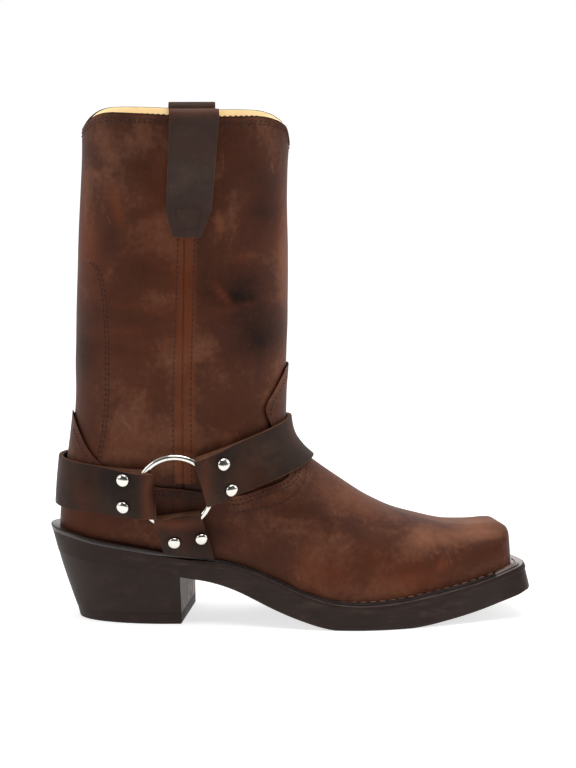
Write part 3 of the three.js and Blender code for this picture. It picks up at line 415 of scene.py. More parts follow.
    def facing(self, x: Array, z: Array, side: Array) -> Array:
        """Outward direction of the form at points of the side view."""
        x, z = np.broadcast_arrays(np.asarray(x, float), np.asarray(z, float))
        step = 0.5
        mid, wide = self.widths(x, z)
        mid_x, wide_x = [(p - m) / (2 * step) for p, m in
                         zip(self.widths(x + step, z), self.widths(x - step, z))]
        mid_z, wide_z = [(p - m) / (2 * step) for p, m in
                         zip(self.widths(x, z + step), self.widths(x, z - step))]
        front, back, inward = self.roundings(x, z)
        f, g = round_off(*front), round_off(*back)
        df, dg = wide * g * round_slope(*front), wide * f * round_slope(*back)
        lean = (self.back_x(z + step) - self.back_x(z - step)) / (2 * step)
        half_x = wide_x * f * g + df * inward[..., 0] + dg
        half_z = wide_z * f * g + df * inward[..., 1] - dg * lean
        y = mid + side * wide * f * g
        n_x, n_z = -side * mid_x - half_x, -side * mid_z - half_z
        foot = self.foot_share(z)
        s_x = (self.slant(x + step, y, foot) - self.slant(x - step, y, foot)) / (2 * step)
        s_y = self.slant(x, np.ones_like(x), foot)
        s_z = (self.slant(x, y, self.foot_share(z + step))
               - self.slant(x, y, self.foot_share(z - step))) / (2 * step)
        n_x = n_x / (1 + s_x)
        return unit(np.stack([n_x, side - s_y * n_x, n_z - s_z * n_x], axis=-1))

    def skin(self, x: Array, z: Array, side: float, offset: float) -> tuple[Array, Array]:
        """Creased surface at a distance from the form, and its direction."""
        x, z = np.asarray(x, float), np.asarray(z, float)
        out = self.facing(x, z, side)
        lift = offset + self.creased(x, z, side)
        return self.point(x, z, side) + out * np.asarray(lift)[..., None], out

    def ring_rows(self) -> Array:
        """Fractional rows of the fine grid."""
        marks = []
        for i in range(len(RINGS) - 1):
            gap = max(RINGS[i + 1][0] - RINGS[i][0], math.dist(RINGS[i][1:3], RINGS[i + 1][1:3]))
            steps = max(3, round(gap / 3.2))
            marks.extend(i + np.arange(steps) / steps)
        return np.array(marks + [len(RINGS) - 1.0])

    def side_columns(self, at: Array) -> Array:
        """x of each column from back to ridge, for each row."""
        back = self.back_x(self.back_height(at))[:, None]
        ridge = self.row(at, 1)[:, None]
        middle = mix(self.row(at, 0), self.row(at, 2), 0.5)
        seam = self.seam_x(middle)[:, None]
        rear = 1 - np.cos(np.pi / 2 * np.linspace(0, 1, self.back_columns))
        fore = np.sin(np.pi / 2 * np.linspace(0, 1, self.front_columns))
        groove = np.array([-1.6, -1.0, -0.55, 0, 0.55, 1.0, 1.6])[None]
        return np.hstack([mix(back, seam - 3, rear[None]), seam + groove,
                          mix(seam + 3, ridge, fore[None])])

    def seats(self) -> tuple[float, float]:
        """Height of the lowest row at the back and at the toe."""
        back, toe = self.back_x(RINGS[0][0]), RINGS[0][1]
        return (float(self.sole_top(back)) + self.seat_gap,
                float(self.sole_top(toe)) + self.seat_gap)

    def back_height(self, at: Array) -> Array:
        """Height of each row at the back."""
        return self.row(at, 0) + (self.seats()[0] - RINGS[0][0]) * self.row(at, 3)

    def grid(self, rows: Array) -> tuple[Array, Array]:
        """Closed rows round the form: outer side forward, inner side back.

        Args:
            rows: Fractional rows of the table of rings.

        Returns:
            The points, and x, z and side of each in side view.
        """
        x = self.side_columns(rows)
        back_seat, toe_seat = self.seats()
        back_z = self.back_height(rows)[:, None]
        share = self.row(rows, 3)[:, None]
        ridge_z = self.row(rows, 2)[:, None] + (toe_seat - RINGS[0][2]) * share
        back = self.back_x(back_z)
        s = (x - back) / (self.row(rows, 1)[:, None] - back)
        base = mix(self.back_x(back_seat), RINGS[0][1], s)
        sag = mix(back_seat, toe_seat, s) - (self.sole_top(base) + self.seat_gap)
        top = mix(RINGS[-1][0], RINGS[-1][2], s)
        crown = curve(COLLAR, mix(COLLAR[0][0], COLLAR[-1][0], s)) - top
        z = mix(back_z, ridge_z, s) - sag * share + crown * self.row(rows, 4)[:, None]
        both = [np.hstack([v, v[:, 1:-1][:, ::-1]]) for v in (x, z)]
        side = np.hstack([-np.ones_like(x), np.ones_like(x[:, 1:-1])])
        return self.point(*both, side), np.stack([*both, side])


def grid_normals(grid: Array, closed: bool) -> Array:
    """Outward directions of a grid of points.

    Args:
        grid: Rows of points.
        closed: Whether each row closes on itself.

    Returns:
        Unit vectors, one for each point.
    """
    if closed:
        along = np.roll(grid, -1, axis=1) - np.roll(grid, 1, axis=1)
    else:
        along = np.gradient(grid, axis=1)
    return unit(np.cross(along, np.gradient(grid, axis=0)))


@dataclass
class Solid:
    """Points and faces of a mesh in working millimetres."""

    points: Array
    faces: list[tuple[int, ...]]
    finish: Array

def loop_body(loops: Array, closed: bool, finish: Optional[Sequence[int]] = None) -> Solid:
    """Body from closed loops of equal length, one after the other.

    Args:
        loops: Array of loops of points.
        closed: Whether the last loop joins the first; otherwise the ends are capped.
        finish: Material number of each band between loops.

    Returns:
        The closed body.
    """
    count, n = loops.shape[:2]
    bands = count if closed else count - 1
    faces, numbers = [], []
    for band in range(bands):
        a, b = band * n, ((band + 1) % count) * n
        for i in range(n):
            j = (i + 1) % n
            faces.append((a + i, a + j, b + j, b + i))
            numbers.append(finish[band] if finish is not None else 0)
    if not closed:
        for base, up in ((0, False), ((count - 1) * n, True)):
            for i in range(n // 2):
                quad = [base + i, base + i + 1, base + (n - i - 1) % n, base + (n - i) % n]
                quad = list(dict.fromkeys(quad))
                faces.append(tuple(quad if up else quad[::-1]))
                numbers.append(0)
    return Solid(loops.reshape(-1, 3), faces, np.array(numbers))


def plate(grid: Array, inner: Array, outer: Array, edge: int = 1) -> Solid:
    """Plate over a grid of points, between two distances from it.

    Args:
        grid: Rows of points facing outwards.
        inner: Distance of the inner face, a number or one for each point.
        outer: Distance of the outer face.
        edge: Material number of the cut edge.

    Returns:
        The closed plate.
    """
    normals = grid_normals(grid, False)
    rows, columns = grid.shape[:2]
    skins = [grid + normals * np.broadcast_to(d, (rows, columns))[..., None]
             for d in (outer, inner)]
    under = rows * columns
    faces, numbers = [], []
    for r in range(rows - 1):
        for c in range(columns - 1):
            a = r * columns + c
            b = a + columns
            faces.append((a, a + 1, b + 1, b))
            faces.append((under + a, under + b, under + b + 1, under + a + 1))
            numbers.extend((0, 0))
    rim = (list(range(columns - 1))
           + [r * columns + columns - 1 for r in range(rows - 1)]
           + [(rows - 1) * columns + c for c in range(columns - 1, 0, -1)]
           + [r * columns for r in range(rows - 1, 0, -1)])
    for i, a in enumerate(rim):
        b = rim[(i + 1) % len(rim)]
        faces.append((a, under + a, under + b, b))
        numbers.append(edge)
    return Solid(np.concatenate([s.reshape(-1, 3) for s in skins]), faces, np.array(numbers))


def outward(grid: Array) -> Array:
    """Turn a grid round so that it faces away from the boot's middle."""
    normals = grid_normals(grid, False)
    row = grid.shape[0] // 2
    if normals[row, 1, 1] * np.sign(grid[row, 1, 1]) < 0:
        return grid[:, ::-1]
    return grid


def deselect() -> None:
    """Leave nothing selected."""
    for thing in bpy.context.selected_objects:
        thing.select_set(False)


def only(thing: bpy.types.Object) -> None:
    """Make one object the only one selected."""
    deselect()
    thing.select_set(True)
    bpy.context.view_layer.objects.active = thing


@dataclass(frozen=True)
class Patch:
    """Soft patch of another shade, drawn in side view.

    Attributes:
        at: x and z of the middle.
        reach: Half sizes along x and z.
        shade: Lighter above 0, darker below.
        rust: Redder above 0.
        turn: Slope of the patch in degrees.
    """

    at: tuple[float, float]
    reach: tuple[float, float]
    shade: float
    rust: float = 0.0
    turn: float = 0.0

    def weight(self, x: Array, z: Array) -> Array:
        """Share of the patch at points of the side view."""
        c, s = math.cos(math.radians(self.turn)), math.sin(math.radians(self.turn))
        dx, dz = x - self.at[0], z - self.at[1]
        u = (dx * c + dz * s) / self.reach[0]
        v = (dz * c - dx * s) / self.reach[1]
        return np.exp(-(u * u + v * v))


# Patches of the upper: mostly the leather's own tone; those marked below are painted highlights
# and painted shade.
PATCHES = (
    Patch((122, 214), (17, 16), -0.75), Patch((136, 264), (14, 24), -0.55),
    Patch((131, 184), (19, 13), -0.6, 0.0, 20), Patch((52, 236), (20, 26), -0.3),
    Patch((25, 240), (9, 26), 0.1, 0.7), Patch((45, 265), (3, 13), 0.15, 0.8, 15),
    Patch((41, 304), (22, 18), 0.02, -0.3), Patch((52, 152), (22, 13), 0.0, 0.0, 12),
    Patch((60, 118), (24, 14), 0.0, 0.25), Patch((23, 172), (9, 14), -0.35),
    Patch((112, 134), (17, 9), -0.35), Patch((106, 108), (14, 16), 0.0, 0.3),
    # On this line the first patch is a painted highlight along the shaft's front edge, also
    # redder.
    Patch((149, 236), (4, 38), 0.45, 0.3), Patch((120, 300), (20, 12), -0.15, 0.1),
    Patch((30, 188), (14, 14), -0.15), Patch((100, 160), (12, 22), 0.0, 0.25),
    Patch((178, 60), (22, 12), 0.12, 0.0), Patch((168, 37), (20, 12), -0.1, 0.55),
    # On this line the second patch is a painted highlight along the top of the vamp.
    Patch((226, 31), (24, 9), 0.0, 0.5), Patch((240, 56), (30, 9), 0.35, 0.1),
    # On this line the first patch is a painted highlight on the top of the instep, also redder.
    Patch((196, 78), (26, 9), 0.3, 0.25, -25), Patch((248, 39), (4, 4), 0.45, 0.6),
    # On this line the first patch is painted shade along a crease in the vamp, the second a
    # painted highlight on the top of the toe.
    Patch((232, 38), (16, 4), -0.35, 0.0, 8), Patch((276, 58), (18, 6), 0.7, 0.1),
    Patch((104, 60), (14, 9), -0.35), Patch((30, 66), (24, 8), -0.3, 0.2),
    # On this line the first patch is painted shadow inside the harness ring, where ring and
    # straps shade the leather.
    Patch((83, 90), (12, 9), -0.6, -0.2), Patch((108, 258), (2.2, 6), 0.3, 0.6, 6),
    Patch((110, 212), (2, 9), 0.35, 0.7, 38), Patch((122, 236), (8, 3), 0.15, 0.5),
    Patch((118, 204), (22, 2), 0.12, 0.25, 14), Patch((58, 205), (20, 2.4), 0.1, 0.25, -6),
    Patch((50, 190), (26, 2), 0.14, 0.2, 5), Patch((40, 178), (18, 2), -0.2, 0.0, -4),
    Patch((124, 58), (16, 12), 0.3, 0.2), Patch((117, 146), (12, 8), -0.2),
    # On this line the second patch is painted shade on the toe's side below its lit top.
    Patch((64, 210), (16, 12), 0.2, 0.1), Patch((279, 44), (14, 6), -0.2, 0.1),
)


# Patches of the straps: the leather's own tone, apart from the painted highlight marked below.
STRAP_PATCHES = (
    Patch((62, 88), (4, 22), 0.4, 0.8), Patch((80, 68), (16, 4), 0.4, 0.8),
    # On this line the second patch is a painted highlight on the top of the pull loop, also
    # redder.
    Patch((98, 96), (5, 18), 0.3, 0.6), Patch((92, 327), (26, 4), 0.9, 0.7),
    Patch((92, 300), (20, 14), 0.0, 0.25), Patch((22, 84), (12, 8), 0.0, 0.1),
    Patch((93, 60), (9, 8), -1.1, 0.1), Patch((36, 96), (14, 12), -0.5),
    Patch((88, 288), (14, 10), 0.35, -0.3), Patch((88, 262), (14, 10), -0.1, 0.2),
    Patch((134, 108), (10, 10), 0.35, -0.1),
)


def shade_points(solid_points: Array, patches: Sequence[Patch]) -> tuple[Array, Array]:
    """Shade and rust of leather at its points.

    Args:
        solid_points: Points in working millimetres.
        patches: Patches of the piece; those of the upper bring the seam's strip too.

    Returns:
        Two arrays, one value for each point.
    """
    x, y, z = solid_points[:, 0], solid_points[:, 1], solid_points[:, 2]
    across = np.where(y < 0, 0.0, 9.0)
    shade, rust = np.zeros(len(x)), np.zeros(len(x))
    for patch in patches:
        weight = patch.weight(x + across, z - 0.6 * across)
        shade += patch.shade * weight
        rust += patch.rust * weight
    if patches is not PATCHES:
        return shade, rust
    seam = curve(SIDE_SEAM, z)
    strip = smooth((7.4 - np.abs(x - seam - 0.4)) / 1.6) * (z > 92)
    shade += -shade * strip * 0.7 + 0.12 * strip
    rust += 0.75 * strip
    return shade, rust


def make(name: str, solid: Solid, finishes: Sequence[bpy.types.Material],
         angle: float = 38.0, patches: Sequence[Patch] = ()) -> bpy.types.Object:
    """Make an object from a solid.

    Args:
        name: Name of the piece.
        solid: Its points and faces.
        finishes: Materials, by number.
        angle: Edges turned by more than this stay sharp, in degrees.
        patches: Patches of another shade.

    Returns:
        The object, at the origin.
    """
    mesh = bpy.data.meshes.new(name)
    mesh.from_pydata(place(solid.points).tolist(), [], solid.faces)
    shade, rust = shade_points(solid.points, patches)
    for label, values in (("shade", shade), ("rust", rust)):
        layer = mesh.attributes.new(label, "FLOAT", "POINT")
        layer.data.foreach_set("value", values.astype(np.float32))
    for finish in finishes:
        mesh.materials.append(finish)
    mesh.polygons.foreach_set("material_index", solid.finish.astype(np.int32))
    mesh.update()
    piece = bpy.data.objects.new(name, mesh)
    bpy.context.scene.collection.objects.link(piece)
    only(piece)
    bpy.ops.object.shade_smooth_by_angle(angle=math.radians(angle))
    return piece


def apply_modifier(piece: bpy.types.Object, kind: str, **settings: object) -> None:
    """Add a modifier with its settings and apply it."""
    only(piece)
    modifier = piece.modifiers.new(kind.lower(), kind)
    for key, value in settings.items():
        setattr(modifier, key, value)
    bpy.ops.object.modifier_apply(modifier=modifier.name)


def soften_edges(piece: bpy.types.Object, width: float, angle: float = 60.0) -> None:
    """Round the cut edges of a piece.

    Args:
        piece: The piece.
        width: Width of the rounding in millimetres.
        angle: Only edges turned by more than this, in degrees.
    """
    apply_modifier(piece, "BEVEL", width=width * MM, segments=2, limit_method="ANGLE",
                   angle_limit=math.radians(angle), use_clamp_overlap=True)
    only(piece)
    bpy.ops.object.shade_smooth_by_angle(angle=math.radians(50))


class Slot(Enum):
    """Names of material slots."""

    UPPER = "upper_leather"
    STRAP = "strap_leather"
    SOLE = "sole_rubber"
    WELT = "welt_rubber"
    METAL = "nickel"


def report(piece: bpy.types.Object, slot: Slot, *nodes: str) -> bpy.types.Object:
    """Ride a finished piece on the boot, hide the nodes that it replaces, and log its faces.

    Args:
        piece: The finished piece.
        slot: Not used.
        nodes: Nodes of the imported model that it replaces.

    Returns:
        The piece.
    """
    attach(piece, "root")
    if nodes:
        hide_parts(*nodes)
    LOG.info("%s: %d faces", piece.name, len(piece.data.polygons))
    return piece


def tint(red: int, green: int, blue: int) -> tuple[float, float, float, float]:
    """Screen colour from 0 to 255 as a linear colour."""
    def one(value: int) -> float:
        """One channel."""
        v = value / 255
        return v / 12.92 if v <= 0.04045 else ((v + 0.055) / 1.055) ** 2.4
    return one(red), one(green), one(blue), 1.0


def fill_ramp(ramp: bpy.types.Node, stops: Sequence[tuple[float, tuple]]) -> None:
    """Give a colour ramp its places and colours."""
    elements = ramp.color_ramp.elements
    while len(elements) < len(stops):
        elements.new(0.5)
    for element, (at, colour) in zip(elements, stops):
        element.position = at
        element.color = colour


class Graph:
    """Small helper that adds nodes to one material."""

    def __init__(self, name: str) -> None:
        """Start an empty material with a principled shader."""
        self.material = bpy.data.materials.new(name)
        self.material.use_nodes = True
        self.tree = self.material.node_tree
        self.shader = self.tree.nodes["Principled BSDF"]
        self.where = self.add("ShaderNodeTexCoord").outputs["Object"]

    def add(self, kind: str, **inputs: object) -> bpy.types.Node:
        """Add a node; inputs are values or sockets, by name."""
        node = self.tree.nodes.new(kind)
        for key, value in inputs.items():
            self.feed(node.inputs[key.replace("_", " ")], value)
        return node

    def feed(self, socket: bpy.types.NodeSocket, value: object) -> None:
        """Give a socket a value or a link."""
        if isinstance(value, bpy.types.NodeSocket):
            self.tree.links.new(value, socket)
        else:
            socket.default_value = value

    def noise(self, scale: float, detail: float = 3.0, rough: float = 0.5,
              stretch: Optional[tuple[float, float, float]] = None,
              warp: float = 0.0) -> bpy.types.NodeSocket:
        """Soft noise over the piece, with a stretch along the axes."""
        where = self.where
        if stretch:
            where = self.add("ShaderNodeMapping", Vector=where, Scale=stretch).outputs[0]
        node = self.add("ShaderNodeTexNoise", Vector=where, Scale=scale, Detail=detail,
                        Roughness=rough, Distortion=warp)
        return node.outputs["Fac"]

    def value(self, name: str) -> bpy.types.NodeSocket:
        """Value stored on the mesh."""
        node = self.add("ShaderNodeAttribute")
        node.attribute_name = name
        return node.outputs["Fac"]

    def math(self, kind: str, a: object, b: object) -> bpy.types.NodeSocket:
        """Sum, product or other of two values."""
        node = self.tree.nodes.new("ShaderNodeMath")
        node.operation = kind
        self.feed(node.inputs[0], a)
        self.feed(node.inputs[1], b)
        return node.outputs[0]

    def span(self, value: object, low: float, high: float, to_low: float = 0.0,
             to_high: float = 1.0) -> bpy.types.NodeSocket:
        """Stretch a range of a value to another, with soft ends."""
        node = self.tree.nodes.new("ShaderNodeMapRange")
        node.interpolation_type = "SMOOTHSTEP"
        for key, number in (("From Min", low), ("From Max", high), ("To Min", to_low),
                            ("To Max", to_high)):
            node.inputs[key].default_value = number
        self.feed(node.inputs["Value"], value)
        return node.outputs["Result"]

    def ramp(self, value: object, stops: Sequence[tuple[float, tuple]]) -> bpy.types.NodeSocket:
        """Colour from a value, by stops."""
        node = self.tree.nodes.new("ShaderNodeValToRGB")
        fill_ramp(node, stops)
        self.feed(node.inputs["Fac"], value)
        return node.outputs["Color"]

    def blend(self, share: object, a: object, b: object) -> bpy.types.NodeSocket:
        """Mix of two colours."""
        node = self.tree.nodes.new("ShaderNodeMix")
        node.data_type = "RGBA"
        self.feed(node.inputs[0], share)
        self.feed(node.inputs[6], a)
        self.feed(node.inputs[7], b)
        return node.outputs[2]

    def bump(self, height: object, depth: float, strength: float = 1.0,
             normal: Optional[bpy.types.NodeSocket] = None) -> bpy.types.NodeSocket:
        """Relief of a height, its depth in millimetres."""
        node = self.add("ShaderNodeBump", Height=height, Distance=depth * MM,
                        Strength=strength)
        if normal:
            self.feed(node.inputs["Normal"], normal)
        return node.outputs["Normal"]

    def set(self, **inputs: object) -> bpy.types.Material:
        """Set the shader's sockets and return the material."""
        for key, value in inputs.items():
            self.feed(self.shader.inputs[key.replace("_", " ")], value)
        return self.material


@dataclass(frozen=True)
class Leather:
    """Oiled leather with soft patches.

    Attributes:
        name: Name of the finish.
        dark: Colour of its darkest patches.
        middle: Main colour.
        light: Colour where it is worn light; painted highlights of the patches also reach it.
        rust: Colour where the oil is pulled out.
        patch: Size of the random patches, as a noise scale per metre.
        rough: Roughness of the surface.
        grain: Depth of the grain in millimetres.
        lean: Tone about which the patches swing.
        shine: Specular level.
        contrast: Strength of the patches.
        scuffs: Share of the light scuffs.
        glow: Strength of a painted glow: emission standing in for bounce light inside the collar.
    """

    name: str
    dark: tuple[int, int, int]
    middle: tuple[int, int, int]
    light: tuple[int, int, int]
    rust: tuple[int, int, int]
    patch: float = 22.0
    rough: float = 0.5
    grain: float = 0.1
    lean: float = 0.5
    shine: float = 0.08
    contrast: float = 1.0
    scuffs: float = 0.12
    glow: float = 0.0

    def build(self) -> bpy.types.Material:
        """Make the material."""
        g = Graph(self.name)
        cloud = g.noise(self.patch, 3, 0.55, warp=0.6)
        fine = g.noise(260, 5, 0.7)
        scuff = g.span(g.noise(70, 6, 0.75, (1, 1, 0.45), 1.4), 0.6, 0.72)
        nap = g.noise(900, 3, 0.6)
        tone = g.math("MULTIPLY_ADD", cloud, 0.62)
        g.feed(tone.node.inputs[2], g.math("MULTIPLY", g.value("shade"), 0.42))
        tone = g.math("ADD", tone, g.math("MULTIPLY", fine, 0.22))
        tone = g.math("ADD", tone, g.math("MULTIPLY", scuff, self.scuffs))
        tone = g.math("ADD", tone, -0.42)
        tone = g.math("MULTIPLY_ADD", tone, self.contrast)
        g.feed(tone.node.inputs[2], self.lean)
        base = g.ramp(tone, ((0.12, tint(*self.dark)), (0.5, tint(*self.middle)),
                             (0.9, tint(*self.light))))
        red = g.span(g.noise(self.patch * 0.8, 2, 0.5, (1, 1, 0.8)), 0.45, 0.75, 0.0, 0.3)
        red = g.math("ADD", red, g.math("MULTIPLY", g.value("rust"), 0.75))
        red = g.math("MAXIMUM", g.math("MINIMUM", red, 1.0), 0.0)
        base = g.blend(red, base, tint(*self.rust))
        speck = g.span(nap, 0.6, 0.8, 0.0, 0.2)
        base = g.blend(speck, base, tint(*self.light))
        pores = g.add("ShaderNodeTexVoronoi", Vector=g.where, Scale=760.0)
        relief = g.bump(pores.outputs["Distance"], self.grain, 0.35)
        relief = g.bump(nap, self.grain, 0.5, relief)
        relief = g.bump(g.noise(150, 3, 0.6, (1, 1, 2.2)), self.grain * 2.2, 0.5, relief)
        gloss = g.span(cloud, 0.3, 0.7, self.rough - 0.06, self.rough + 0.1)
        # Emission at the strength of glow is painted light: a painted glow wherever glow is above
        # 0.
        return g.set(Base_Color=base, Roughness=gloss, Normal=relief,
                     Specular_IOR_Level=self.shine, Emission_Color=base,
                     Emission_Strength=self.glow)


@dataclass(frozen=True)
class Rubber:
    """Dark sole with fine dressing marks.

    Attributes:
        name: Name of the finish.
        dark: Main colour.
        dust_and_painted_light: Second colour of the marks: dusting and wear on sole and heel; in
            the rim and lip finishes a painted highlight, in the welt-toe finish a painted glare,
            in the heel breast a painted reflection.
        streak: Stretch of the marks along x, y and z.
        rough: Roughness of the surface.
        dust: Share of that second colour.
        shine: Specular level.
        relief: Share of the usual depth of the marks.
    """

    name: str
    dark: tuple[int, int, int]
    dust_and_painted_light: tuple[int, int, int]
    streak: tuple[float, float, float]
    rough: float = 0.5
    dust: float = 0.35
    shine: float = 0.2
    relief: float = 1.0

    def build(self) -> bpy.types.Material:
        """Make the material."""
        g = Graph(self.name)
        marks = g.noise(120, 4, 0.65, self.streak)
        cloud = g.noise(30, 3, 0.5)
        fine = g.noise(700, 3, 0.6)
        amount = g.math("MULTIPLY", g.span(marks, 0.4, 0.75), g.span(cloud, 0.3, 0.7))
        base = g.blend(g.math("MULTIPLY", amount, self.dust), tint(*self.dark),
                       tint(*self.dust_and_painted_light))
        relief = g.bump(marks, 0.12 * self.relief, 0.5)
        relief = g.bump(fine, 0.06 * self.relief, 0.5, relief)
        gloss = g.span(cloud, 0.3, 0.7, self.rough - 0.05, self.rough + 0.12 * self.relief)
        return g.set(Base_Color=base, Roughness=gloss, Normal=relief,
                     Specular_IOR_Level=self.shine)


@dataclass(frozen=True)
class Thread:
    """Waxed thread.

    Attributes:
        name: Name of the finish.
        colour: Its colour.
        dirty: Colour of its dirty lengths.
    """

    name: str
    colour: tuple[int, int, int]
    dirty: tuple[int, int, int]

    def build(self) -> bpy.types.Material:
        """Make the material."""
        g = Graph(self.name)
        base = g.blend(g.span(g.noise(160, 3), 0.35, 0.7), tint(*self.colour),
                       tint(*self.dirty))
        twist = g.bump(g.noise(2600, 2), 0.05, 0.6)
        return g.set(Base_Color=base, Roughness=0.7, Normal=twist)


@dataclass(frozen=True)
class Nickel:
    """Polished nickel with light handling marks."""

    name: str
    colour: tuple[int, int, int]
    rough: float

    def build(self) -> bpy.types.Material:
        """Make the material."""
        g = Graph(self.name)
        haze = g.noise(420, 4, 0.6)
        gloss = g.span(haze, 0.3, 0.8, self.rough, self.rough + 0.1)
        base = g.blend(g.span(haze, 0.4, 0.9, 0.0, 0.3), tint(*self.colour),
                       tint(150, 145, 138))
        relief = g.bump(haze, 0.01, 0.3)
        return g.set(Base_Color=base, Roughness=gloss, Normal=relief, Metallic=1.0)


@dataclass
class Finishes:
    """All finishes of the boot, made once."""

    upper: bpy.types.Material = field(init=False)
    strap: bpy.types.Material = field(init=False)
    pull: bpy.types.Material = field(init=False)
    edge: bpy.types.Material = field(init=False)
    strap_edge: bpy.types.Material = field(init=False)
    lining: bpy.types.Material = field(init=False)
    insole: bpy.types.Material = field(init=False)
    sole: bpy.types.Material = field(init=False)
    heel: bpy.types.Material = field(init=False)
    breast: bpy.types.Material = field(init=False)
    welt: bpy.types.Material = field(init=False)
    lip: bpy.types.Material = field(init=False)
    rim: bpy.types.Material = field(init=False)
    gloss: bpy.types.Material = field(init=False)
    thread: bpy.types.Material = field(init=False)
    welt_thread: bpy.types.Material = field(init=False)
    lining_thread: bpy.types.Material = field(init=False)
    nickel: bpy.types.Material = field(init=False)

    def __post_init__(self) -> None:
        """Make every material."""
        self.upper = Leather("upper_leather_oiled", (26, 15, 11), (75, 43, 31),
                             (144, 96, 72), (102, 50, 27), rough=0.5, contrast=1.25).build()
        self.strap = Leather("strap_leather_dark", (24, 18, 15), (51, 38, 32),
                             (94, 68, 55), (98, 50, 30), patch=30.0, rough=0.5,
                             lean=0.45).build()
        self.pull = Leather("pull_strap_leather", (36, 30, 28), (66, 53, 48),
                            (100, 80, 70), (90, 50, 36), patch=26.0, rough=0.52,
                            lean=0.45).build()
        self.edge = Leather("cut_leather_edge", (18, 10, 8), (30, 17, 13), (58, 36, 26),
                            (44, 22, 14), patch=60.0, rough=0.7).build()
        self.strap_edge = Leather("strap_cut_edge", (52, 36, 28), (92, 62, 46),
                                  (130, 92, 68), (100, 60, 40), patch=60.0,
                                  rough=0.72).build()
        # The lining's glow is a painted glow standing in for bounce light inside the collar.
        self.lining = Leather("lining_leather", (236, 196, 140), (255, 232, 182),
                              (255, 246, 214), (246, 204, 146), patch=40.0, rough=0.7,
                              grain=0.05, glow=0.16).build()
        self.insole = Leather("insole_board", (120, 86, 54), (160, 120, 80),
                              (186, 148, 106), (140, 90, 54), patch=40.0, rough=0.75,
                              grain=0.08).build()
        self.sole = Rubber("sole_edge_dressing", (46, 35, 31), (84, 68, 61),
                           (0.6, 0.6, 1.6), 0.5, 0.4, 0.12).build()
        self.heel = Rubber("heel_side_dressing", (46, 35, 31), (84, 68, 61),
                           (0.8, 0.8, 1.0), 0.5, 0.3, 0.12).build()
        # The heel breast's light grey is a painted reflection of the bright floor.
        self.breast = Rubber("heel_breast_painted_reflection", (104, 92, 88), (176, 164, 160),
                             (1.0, 1.0, 1.0), 0.55, 0.8).build()
        self.welt = Rubber("welt_top_dressing", (42, 32, 29), (84, 70, 64),
                           (0.7, 0.7, 1.4), 0.24, 0.35, 0.6).build()
        # The lip's lighter colour is a painted highlight line along the heel welt's top edge.
        self.lip = Rubber("heel_lip_painted_highlight", (50, 40, 36), (86, 70, 64),
                          (1.0, 1.0, 1.0), 0.5, 0.6, 0.12).build()
        # The rim's lighter colour is a painted highlight along the top of the outsole's side.
        self.rim = Rubber("sole_rim_painted_highlight", (72, 60, 56), (112, 98, 92),
                          (0.7, 0.7, 1.4), 0.4, 0.6, 0.3).build()
        # The light colour of welt and rim at the toe is a painted glare, a painted reflection of
        # the bright background.
        self.gloss = Rubber("welt_toe_painted_glare", (136, 124, 120), (176, 166, 162),
                            (1.0, 1.0, 1.0), 0.06, 0.4, 1.0, 0.15).build()
        self.thread = Thread("upper_thread", (40, 16, 12), (24, 12, 10)).build()
        self.welt_thread = Thread("welt_thread", (150, 114, 96), (92, 68, 58)).build()
        self.lining_thread = Thread("lining_thread", (150, 112, 72), (96, 70, 46)).build()
        self.nickel = Nickel("polished_nickel", (226, 222, 214), 0.08).build()


@dataclass
class StitchRow:
    """Row of stitches, each a short rounded length of thread.

    Attributes:
        pitch: Distance between stitches in millimetres.
        share: Length of a stitch as a share of the pitch.
        width: Width of the thread.
        height: How far it stands up.
    """

    pitch: float = 3.2
    share: float = 0.66
    width: float = 0.75
    height: float = 0.45

    def template(self) -> tuple[Array, list[tuple[int, ...]]]:
        """One stitch of unit length, width and height, modelled once."""
        deselect()
        bpy.ops.mesh.primitive_uv_sphere_add(segments=6, ring_count=4, radius=0.5,
                                             rotation=(0, math.pi / 2, 0))
        ball = bpy.context.active_object
        bpy.ops.object.transform_apply(location=False, rotation=True, scale=False)
        points = np.array([v.co[:] for v in ball.data.vertices])
        faces = [tuple(p.vertices) for p in ball.data.polygons]
        mesh = ball.data
        bpy.data.objects.remove(ball)
        bpy.data.meshes.remove(mesh)
        return points, faces

    def sew(self, name: str, lines: Sequence[tuple[Array, Array]],
            finish: bpy.types.Material) -> bpy.types.Object:
        """Sew stitches along lines.

        Args:
            name: Name of the piece.
            lines: For each row its points and the surface's directions there.
            finish: Thread material.

        Returns:
            One object with all the stitches.
        """
        points, faces = self.template()
        all_points, all_faces = [], []
        for line, normals in lines:
            middles, along = resample(line, self.pitch)
            run = np.concatenate([[0], np.cumsum(np.linalg.norm(np.diff(line, axis=0), axis=1))])
            marks = (np.arange(len(middles)) + 0.5) * run[-1] / len(middles)
            up = unit(np.stack([np.interp(marks, run, normals[:, k]) for k in range(3)], 1))
            across = unit(np.cross(up, along))
            size = np.array([self.pitch * self.share, self.width, self.height * 2])
            for middle, a, b, c in zip(middles, along, across, up):
                shape = points * size
                start = len(all_points) * len(points)
                all_points.append(middle + shape[:, :1] * a + shape[:, 1:2] * b
                                  + shape[:, 2:] * c)
                all_faces.extend(tuple(start + k for k in f) for f in faces)
        solid = Solid(np.concatenate(all_points), all_faces, np.zeros(len(all_faces)))
        return make(name, solid, [finish], 60)


